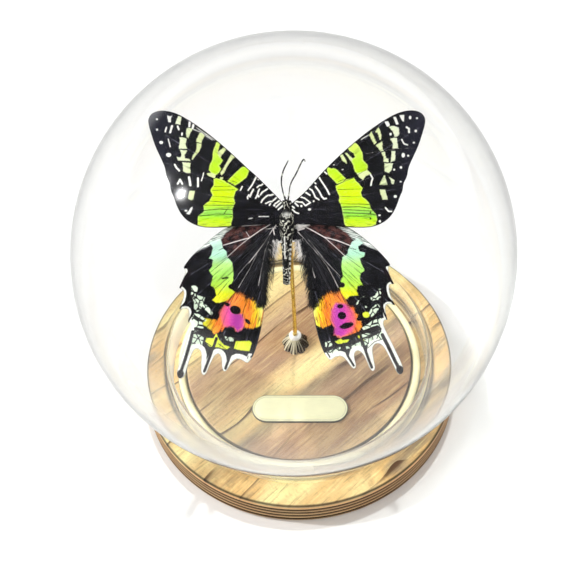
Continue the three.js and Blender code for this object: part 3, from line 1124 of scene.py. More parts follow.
@dataclass
class RodSet:
    """The brass rod with its clear collar and the scalloped cap that hides the hole."""

    place: tuple[float, float] = (-0.7, 6.2)
    foot: float = 12.1
    top: float = 71.2
    radius: float = 0.62
    cap_radius: float = 4.2
    cap_height: float = 4.0
    lobes: int = 8
    collar_radius: float = 1.9
    collar_height: float = 1.6

    def moved(self, shell: Shell) -> Shell:
        """Puts a shell that was made round the Z axis in its place on the plateau."""
        shell.points = shell.points + np.array([*self.place, self.foot])
        return shell

    def rod(self, finish: Finish) -> None:
        """A straight rod with a slight swell every few millimetres from drawing and a soft top.

        Args:
            finish: The drawn brass.
        """
        height = np.linspace(0.05, self.top - self.foot - 0.3, 240)
        swell = 0.012 * np.sin(height * 1.9) + 0.01 * np.sin(height * 0.7)
        path = np.column_stack([0.05 * np.sin(height * 0.11), 0 * height, height])
        shell = tube(path, self.radius + swell, 40)
        self.moved(shell).piece("drawn_rod", Slot.ROD, finish, "support_rod")

    def cap(self, finish: Finish) -> None:
        """An umbrella of lobes: the radius falls in at each seam by a share that grows outwards.

        Args:
            finish: The aged brass.
        """
        bore = self.radius + 0.1
        outside = np.array([
            [0.90, 0.0], [0.99, 0.12], [1.0, 0.42], [0.96, 0.95], [0.86, 1.75], [0.70, 2.65], [0.50, 3.45],
            [0.36, 3.9], [0.28, 4.0], [bore / self.cap_radius, 3.95],
        ]) * [self.cap_radius, 1]
        curve = along(outside, 64)
        hollow = np.array([[bore, 0.3], [self.cap_radius * 0.55, 0.25], [self.cap_radius * 0.84, 0.05]])
        profile = np.concatenate([curve, hollow])
        grid = turned_grid(profile, 384)
        radius = np.hypot(grid[..., 0], grid[..., 1])
        angle = np.arctan2(grid[..., 1], grid[..., 0]) + 0.2
        share = np.clip((radius - bore) / (self.cap_radius - bore), 0, 1)
        lobe = np.abs(np.cos(angle * self.lobes / 2))
        flute = np.abs(np.cos(angle * self.lobes * 3 / 2))
        seam = (1 - lobe**0.55) * share**1.3
        groove = (1 - flute**0.7) * share
        scale = 1 - 0.24 * seam - 0.045 * groove
        grid[..., :2] *= scale[..., None]
        outer = np.arange(len(profile)) < len(curve)
        grid[..., 2] -= np.where(outer[:, None], 0.45 * seam + 0.20 * groove, 0) * (grid[..., 2] > 0.6)
        shell = skin(grid, loop=True)
        # Painted shade: darker in the seams and between the flutes, and on the side towards +X, away from the
        # key lamp.
        painted_fold_shade = seam * 1.6 + 1.15 * share * (1 - flute**1.3)
        painted_side_shade = 0.85 * np.clip(1.8 * np.cos(angle - 0.1) - 0.3, 0, 1) * (0.6 + 0.4 * share)
        shell.values = {"crease": np.clip(painted_fold_shade + painted_side_shade, 0, 1).reshape(-1)}
        self.moved(shell).piece("scalloped_cap", Slot.CAP, finish, "bead_cap")

    def collar(self, finish: Finish) -> None:
        """A round bead with a bore for the rod.

        Args:
            finish: The clear bead's glass.
        """
        half = self.collar_height / 2
        round_side = arc(self.collar_radius - half, half, half * 0.98, -90, 90, 20)
        bore = self.radius + 0.08
        profile = np.concatenate([[[bore, 0.08]], round_side, [[bore, self.collar_height - 0.08]]])
        shell = skin(turned_grid(profile, 96), loop=True)
        shell.points[:, 2] += self.cap_height
        self.moved(shell).piece("clear_collar", Slot.COLLAR, finish, "rod_collar")


# ---------------------------------------------------------------------------------------------
# The moth
# ---------------------------------------------------------------------------------------------


@dataclass(frozen=True)
class Pose:
    """Where the moth's own frame stands: +X to its wing tips, +Y to its head, +Z out of its back."""

    place: tuple[float, float, float] = (-1.4, 5.2, 74.0)
    lean: float = 36.8
    spin: float = -2.8

    def world(self, points: np.ndarray) -> np.ndarray:
        """Spins points about the moth's back, leans them and brings them to their place.

        Args:
            points: Points in the frame of the moth.

        Returns:
            The same points in the shared frame.
        """
        lean = Matrix.Rotation(math.radians(self.lean), 3, "X")
        turn = lean @ Matrix.Rotation(math.radians(self.spin), 3, "Z")
        return points @ np.array(turn).T + np.array(self.place)


POSE = Pose()


def egg(centre: Sequence[float], halves: Sequence[float], rows: int, cols: int) -> np.ndarray:
    """An egg's grid with its poles on Y: centre + halves * (sin p cos a, cos p, sin p sin a).

    Args:
        centre: Its middle.
        halves: Half its size on each axis.
        rows: Points from pole to pole.
        cols: Points round it.

    Returns:
        The grid, rows by columns by three.
    """
    p = np.linspace(0, math.pi, rows)[:, None]
    a = np.linspace(0, 2 * math.pi, cols, endpoint=False)[None]
    unit = np.stack([np.sin(p) * np.cos(a), np.cos(p) + 0 * a, np.sin(p) * np.sin(a)], -1)
    unit[0], unit[-1] = (0, 1, 0), (0, -1, 0)
    return np.array(centre) + np.array(halves) * unit


@dataclass
class MothBody:
    """Head, thorax and abdomen with their coat of hairs, the feelers and the legs."""

    thorax: tuple = ((0, -0.5, -0.1), (2.15, 4.3, 2.0))
    head: tuple = ((0, 4.7, 0.1), (1.15, 1.5, 1.0))
    abdomen_top: float = -2.8
    abdomen_tip: float = -16.9
    rings: int = 11
    feeler_points: dict = field(default_factory=lambda: {
        Side.LEFT: [(-0.45, 5.8, 0.5), (-1.4, 10.3, 1.2), (-1.0, 13.4, 1.6), (0.4, 16.4, 1.8)],
        Side.RIGHT: [
            (0.45, 5.8, 0.5), (1.0, 10.0, 1.1), (2.5, 12.9, 1.6), (4.3, 16.5, 1.8), (5.0, 16.2, 1.7),
        ],
    })
    leg_points: dict = field(default_factory=lambda: {
        "foreleg_left": [(-1.2, 3.2, -1.6), (-1.9, 4.6, -3.0), (-1.6, 2.8, -3.6)],
        "foreleg_right": [(1.2, 3.2, -1.6), (1.9, 4.6, -3.0), (1.6, 2.8, -3.6)],
        "middle_leg_left": [(-1.6, 0.6, -1.6), (-3.0, -1.4, -3.0), (-2.2, -4.6, -3.4)],
        "middle_leg_right": [(1.6, 0.6, -1.6), (3.0, -1.4, -3.0), (2.4, -4.6, -3.4)],
        "hind_leg_left": [(-1.7, -2.2, -1.0), (-3.3, -3.9, -1.3), (-2.6, -5.6, -1.9), (-4.2, -11.8, -2.8)],
        "hind_leg_right": [(1.7, -2.2, -1.2), (2.8, -5.4, -3.0), (2.2, -9.2, -3.2)],
    })

    def lumpy(self, grid: np.ndarray, centre: Sequence[float], depth: float) -> np.ndarray:
        """Moves points out from a centre by a sum of waves, for the muscles and tufts beneath.

        Args:
            grid: The smooth grid.
            centre: What the points move away from.
            depth: The height of the waves.

        Returns:
            The uneven grid, its poles unmoved.
        """
        x, y, z = np.moveaxis(grid, -1, 0)
        wave = np.sin(2.3 * x + 1.1) * np.cos(1.7 * y) + 0.6 * np.sin(3.9 * y + 2.1 * z)
        wave += 0.4 * np.cos(5.2 * x - 2.7 * y)
        away = grid - np.array(centre)
        away /= np.linalg.norm(away, axis=-1, keepdims=True) + 1e-9
        pole = np.minimum(np.arange(len(grid)), np.arange(len(grid))[::-1])[:, None]
        return grid + away * (depth * wave * (pole > 0))[..., None]

    def shown(self, grid: np.ndarray, name: str, finish: Finish, node: str, pale: float = 0.0) -> None:
        """Covers a grid in the moth's frame and makes it a piece with a painted highlight behind the head.

        Args:
            grid: Points in the frame of the moth.
            name: The piece's name.
            finish: The chitin.
            node: The CAD node that it replaces.
            pale: How bright the painted highlight is.
        """
        shell = skin(grid)
        x, y, z = shell.points.T
        # Painted highlight on top of the thorax, behind the head.
        shine = np.exp(-((x - 0.1) ** 2 / 0.8 + (y - 2.0) ** 2 / 0.30)) * (z > 0)
        shell.values = {"pale": shine * pale}
        shell.points = POSE.world(shell.points)
        shell.piece(name, Slot.BODY, finish, node)

    def trunk(self, finish: Finish) -> None:
        """The thorax, and the head with its two round eyes and its pair of palps.

        Args:
            finish: The chitin.
        """
        centre, halves = self.thorax
        thorax = self.lumpy(egg(centre, halves, 72, 96), centre, 0.16)
        self.shown(thorax, "thorax", finish, "moth_thorax", 0.7)
        centre, halves = self.head
        shell = skin(self.lumpy(egg(centre, halves, 48, 64), centre, 0.06))
        for side in Side:
            out = side.value
            eye = skin(egg((out * 0.85, 5.2, 0.0), (0.5, 0.72, 0.7), 32, 40))
            palp = along([(out * 0.3, 5.9, -0.6), (out * 0.42, 6.6, -0.6), (out * 0.4, 7.1, -0.3)], 14)
            shell = shell.joined(eye, tube(palp, np.linspace(0.24, 0.11, 14), 12))
        shell.values = {"pale": np.zeros(len(shell.points))}
        shell.points = POSE.world(shell.points)
        shell.piece("head", Slot.BODY, finish, "moth_head")

    def abdomen(self, finish: Finish) -> None:
        """A tail of rings: r = taper * (1 + swell in each ring), with pale dots down one side
        and a painted highlight line along the back.

        Args:
            finish: The chitin.
        """
        t = np.linspace(0, 1, 150)
        ring = np.abs(np.sin(math.pi * self.rings * t))
        taper = 0.98 + 0.50 * (1 - t) + 0.35 * (1 - t) ** 4
        cap = np.clip(np.minimum(t / 0.05, (1 - t) / 0.04), 0, 1)
        radius = taper * (0.86 + 0.14 * ring**0.7) * np.sqrt(1 - (1 - cap) ** 2)
        angle = np.linspace(0, 2 * math.pi, 64, endpoint=False)
        y = self.abdomen_top + (self.abdomen_tip - self.abdomen_top) * t
        grid = np.stack([
            radius[:, None] * np.cos(angle), y[:, None] + 0 * angle, radius[:, None] * np.sin(angle),
        ], -1)
        shell = skin(grid)
        turn = np.arctan2(shell.points[:, 2], shell.points[:, 0])
        share = (self.abdomen_top - shell.points[:, 1]) / (self.abdomen_top - self.abdomen_tip)
        dots = (np.sin(math.pi * self.rings * share) ** 2 > 0.5) & (share > 0.22)
        flank = np.clip(1.8 - np.abs(turn - 0.62) / 0.26, 0, 1) * dots
        # Painted highlight: a pale line along the back, a little to the left, on the upper half.
        back = np.clip(1.5 - np.abs(turn - 1.95) / 0.12, 0, 1) * (share > 0.08) * (share < 0.5) * 0.9
        shell.values = {"pale": np.clip(flank + back, 0, 1)}
        shell.points = POSE.world(shell.points)
        shell.piece("abdomen", Slot.BODY, finish, "moth_abdomen")

    def coat(self, finish: Finish) -> None:
        """Short hairs over thorax, head and abdomen, combed back towards the tail.

        Args:
            finish: The dark hair.
        """
        rng = np.random.default_rng(11)
        rows = []
        plan = ((self.thorax, 200, 1.0), (self.head, 160, 0.7))
        for (centre, halves), count, length in plan:
            unit = rng.normal(size=(count, 3))
            unit /= np.linalg.norm(unit, axis=1, keepdims=True)
            root = np.array(centre) + np.array(halves) * unit * 0.97
            out = unit / np.array(halves)
            out /= np.linalg.norm(out, axis=1, keepdims=True)
            way = out * 0.42 + np.array([0, -1.0, 0]) + rng.normal(scale=0.22, size=(count, 3))
            rows.append((root, way, length * rng.uniform(0.5, 1.0, count)))
        count = 200
        t = rng.uniform(0.0, 0.97, count)
        angle = rng.uniform(0, 2 * math.pi, count)
        radius = 0.92 + 0.48 * (1 - t) + 0.33 * (1 - t) ** 4
        out = np.column_stack([np.cos(angle), 0 * t, np.sin(angle)])
        y = self.abdomen_top + (self.abdomen_tip - self.abdomen_top) * t
        root = out * radius[:, None] + np.column_stack([0 * y, y, 0 * y])
        way = out * 0.30 + np.array([0, -1.0, 0]) + rng.normal(scale=0.12, size=(count, 3))
        rows.append((root, way, rng.uniform(0.35, 0.9, count)))
        root, way, length = (np.concatenate([row[i] for row in rows]) for i in range(3))
        way *= (length / np.linalg.norm(way, axis=1))[:, None]
        tone = rng.beta(1.0, 6.0, len(root))
        shell = hairs(root, way, rng.normal(scale=0.06, size=root.shape), 0.04, tone)
        shell.points = POSE.world(shell.points)
        shell.piece("body_hair", Slot.BODY, finish)

    def limbs(self, finish: Finish) -> None:
        """Feelers that swell a little past their middle, and legs that thin joint by joint.

        Args:
            finish: The chitin.
        """
        for side in Side:
            path = along(self.feeler_points[side], 90)
            t = np.linspace(0, 1, 90)
            radius = 0.15 + 0.06 * np.sin(math.pi * t**1.3) + 0.012 * np.sin(t * 260)
            shell = tube(path, radius, 14)
            self.finish_limb(shell, f"feeler_{side.word}", finish, f"antenna_{side.word}")
        for name, points in self.leg_points.items():
            path = along(points, 60)
            t = np.linspace(0, 1, 60)
            radius = 0.34 - 0.17 * t + 0.04 * np.cos(t * (len(points) - 1) * 2 * math.pi)
            self.finish_limb(tube(path, radius, 14), name + "_jointed", finish, name)

    def finish_limb(self, shell: Shell, name: str, finish: Finish, node: str) -> None:
        """Brings a limb to its place and makes it a piece. A hind leg is pale as far as its knee.

        Args:
            shell: The limb in the frame of the moth.
            name: The piece's name.
            finish: The chitin.
            node: The CAD node that it replaces.
        """
        thigh = shell.points[:, 1] > self.leg_points["hind_leg_left"][2][1] + 0.6
        shell.values = {"pale": (thigh & ("hind_leg" in name)) * 0.8}
        shell.points = POSE.world(shell.points)
        shell.piece(name, Slot.BODY, finish, node)


# ---------------------------------------------------------------------------------------------
# Wings: outlines and marks, in millimetres out from the body and up towards the head
# ---------------------------------------------------------------------------------------------


@dataclass(frozen=True)
class Stroke:
    """A line of a given width through its points."""

    points: Line
    width: float


@dataclass(frozen=True)
class Spot:
    """An oval: its middle, its two half sizes and its turn in degrees."""

    x: float
    y: float
    wide: float
    high: float
    turn: float = 0.0


Mark = Union[Stroke, Spot, list]


def rounded(outline: Line, times: int = 1) -> np.ndarray:
    """Cuts the corners of a closed outline: each side keeps its middle half. A point given twice stays sharp.

    Args:
        outline: Its corners.
        times: How often they are cut.

    Returns:
        The rounder outline.
    """
    points = np.asarray(outline, float)
    for _ in range(times):
        following = np.roll(points, -1, axis=0)
        pair = [0.75 * points + 0.25 * following, 0.25 * points + 0.75 * following]
        points = np.stack(pair, 1).reshape(-1, 2)
    return points


def to_sides(places: np.ndarray, starts: np.ndarray, ends: np.ndarray) -> np.ndarray:
    """Distance from each place to the nearest of some straight sides.

    Args:
        places: Points (x, y).
        starts: Where the sides start.
        ends: Where they end.

    Returns:
        One distance for each place.
    """
    way = ends - starts
    square = (way**2).sum(1) + 1e-12
    away = places[:, None] - starts[None]
    share = np.clip((away * way).sum(-1) / square, 0, 1)
    return np.sqrt(((away - share[..., None] * way) ** 2).sum(-1)).min(1)


def inside(places: np.ndarray, outline: np.ndarray) -> np.ndarray:
    """Whether each place lies in a closed outline: a line from it crosses the sides an odd number of times.

    Args:
        places: Points (x, y).
        outline: The corners of the outline.

    Returns:
        True or false for each place.
    """
    start, end = outline, np.roll(outline, -1, axis=0)
    x, y = places[:, :1], places[:, 1:]
    straddles = (start[:, 1] > y) != (end[:, 1] > y)
    slope = (end[:, 0] - start[:, 0]) / (end[:, 1] - start[:, 1] + 1e-12)
    crossing = start[:, 0] + (y - start[:, 1]) * slope
    return (straddles & (x < crossing)).sum(1) % 2 == 1


def depth_in(places: np.ndarray, outline: np.ndarray) -> np.ndarray:
    """How deep each place lies in a closed outline, negative outside.

    Args:
        places: Points (x, y).
        outline: The corners of the outline.

    Returns:
        One depth for each place.
    """
    chunks = np.array_split(places, max(1, len(places) * len(outline) // 1_500_000 + 1))
    parts = []
    for chunk in chunks:
        distance = to_sides(chunk, outline, np.roll(outline, -1, axis=0))
        parts.append(np.where(inside(chunk, outline), distance, -distance))
    return np.concatenate(parts)


def depth_of(places: np.ndarray, mark: Mark) -> np.ndarray:
    """How deep each place lies in a mark, negative outside.

    Args:
        places: Points (x, y).
        mark: A stroke, a spot or a closed outline.

    Returns:
        One depth for each place.
    """
    if isinstance(mark, Stroke):
        points = np.asarray(mark.points, float)
        return mark.width / 2 - to_sides(places, points[:-1], points[1:])
    if isinstance(mark, Spot):
        angle = math.radians(mark.turn)
        x, y = places[:, 0] - mark.x, places[:, 1] - mark.y
        u = (x * math.cos(angle) + y * math.sin(angle)) / mark.wide
        v = (y * math.cos(angle) - x * math.sin(angle)) / mark.high
        return (1 - np.hypot(u, v)) * min(mark.wide, mark.high)
    return depth_in(places, np.asarray(mark, float))


FAR = -3.0


def field_of(places: np.ndarray, marks: Sequence[Mark]) -> np.ndarray:
    """The depth in the nearest of several marks, worked out only near each of them.

    Args:
        places: Points (x, y).
        marks: The marks of one field.

    Returns:
        One depth for each place, FAR away from all marks.
    """
    depth = np.full(len(places), FAR)
    for mark in marks:
        if isinstance(mark, Spot):
            reach = max(mark.wide, mark.high)
            low, high = (np.array([mark.x, mark.y]) + sign * reach for sign in (-1, 1))
        else:
            points = np.asarray(mark.points if isinstance(mark, Stroke) else mark, float)
            low, high = points.min(0), points.max(0)
        near = ((places > low + FAR / 2) & (places < high - FAR / 2)).all(1)
        if near.any():
            depth[near] = np.maximum(depth[near], depth_of(places[near], mark))
    return depth


FOREWING_ROOTS = {
    Side.LEFT: [(0.4, 4.6), (1.6, 5.8), (2.7, 6.9), (5, 9.2), (8.2, 12.4), (9.9, 13.8)],
    Side.RIGHT: [(0.4, 4.2), (1.2, 4.9), (3.1, 6.4), (5.1, 8.2), (7.6, 11), (8.8, 12.4), (9.9, 13.6)],
}

FOREWING_REST = [
    (13.2, 16.9), (17.3, 20.6), (21.4, 23.9), (25.4, 26.7), (29, 28.8), (32, 29.7), (34.5, 29.7),
    (36.3, 28.9), (37.1, 27.4), (36.9, 25.6), (36.1, 23), (35.4, 20.8), (34.6, 18.9), (33.5, 16.6),
    (32.5, 14.3), (32.3, 12.2), (31.2, 10.2), (31.1, 8.4), (30.2, 6.5), (29.5, 4.3), (28.2, 1.8),
    (26.5, 0.2), (24.4, -0.9), (22, -1.5), (17, -1.5), (9.3, -0.7), (0.6, -0.6),
]

HINDWING_OUTLINES = {
    Side.LEFT: [
        (1.0, 1.2), (8, 1.5), (13, 0), (17, -1.9), (19.5, -3.7), (22.3, -6.2), (25.1, -8.6), (27, -11),
        (27.7, -12.1), (27.7, -12.1), (27.1, -13.4), (28, -15.6), (28.9, -17.6), (28.9, -17.6),
        (28, -18.1), (27.5, -18.8), (27.8, -20.6), (28.9, -23.3), (28.9, -23.3), (27.8, -23.3),
        (26.7, -23.1), (26.2, -24), (26.3, -25.6), (26.5, -26.8), (26.5, -26.8), (25.8, -27.1),
        (25.7, -28), (26.2, -29.5), (26.9, -31.5), (28.2, -35.5), (29.4, -39.5), (29.6, -41),
        (28.8, -42.1), (27.9, -41.9), (27.2, -40.5), (26, -36.5), (25.2, -34.6), (24.3, -33.8),
        (23.3, -34.3), (22.9, -35.4), (23, -37.5), (23.1, -40.3), (22.4, -41.2), (21.6, -40.6),
        (20.4, -37.6), (19.4, -35.8), (18.5, -35.2), (17.7, -35.9), (17.5, -37.3), (17.4, -39.5),
        (16.7, -40.3), (15.9, -39.5), (14.9, -37.8), (13.8, -36.7), (12.4, -36.8), (11, -37.8),
        (10.3, -37.8), (9, -36), (7.8, -32.5), (6.8, -28.5), (6.1, -24.6), (5.8, -20), (5.5, -15),
        (5, -10), (4.2, -7), (3.1, -5.4), (1.0, -4.9),
    ],
    Side.RIGHT: [
        (1.0, 1.2), (8, 1.5), (13, -0.1), (17, -2), (19.5, -3.8), (22.3, -6.2), (25, -8.8), (26.8, -11),
        (27.5, -12), (27.5, -12), (26.9, -12.8), (27, -14.2), (28.4, -17.3), (28.4, -17.3), (27.4, -17.2),
        (26.9, -17.9), (27.2, -20), (28.5, -23), (28.5, -23), (27.2, -22.6), (26.2, -22.6), (25.8, -23.6),
        (26, -25.2), (26.4, -26.8), (26.4, -26.8), (25.4, -26.9), (25.2, -28), (25.9, -29.8),
        (26.9, -31.8), (28.6, -35.6), (30.1, -39), (30.4, -40.6), (29.6, -41.6), (28.6, -41.2),
        (27.6, -38.8), (25.8, -35), (24.7, -33.4), (23.6, -33), (22.6, -33.4), (22.1, -34.6), (22.4, -37),
        (22.9, -39.7), (22.2, -40.6), (21.3, -39.8), (20.4, -37.2), (19.3, -35.4), (18.4, -34.8),
        (17.4, -35.2), (17.2, -36.6), (17.8, -39), (17.2, -39.9), (16.3, -39.2), (15, -37.2),
        (13.8, -36.2), (12.2, -36.4), (11, -37.3), (10.4, -37.2), (9, -35.2), (7.9, -32), (7.1, -28.5),
        (6.4, -24.4), (6.3, -20), (6.2, -15), (5.4, -10), (4.2, -7), (3.1, -5.4), (1.0, -4.9),
    ],
}

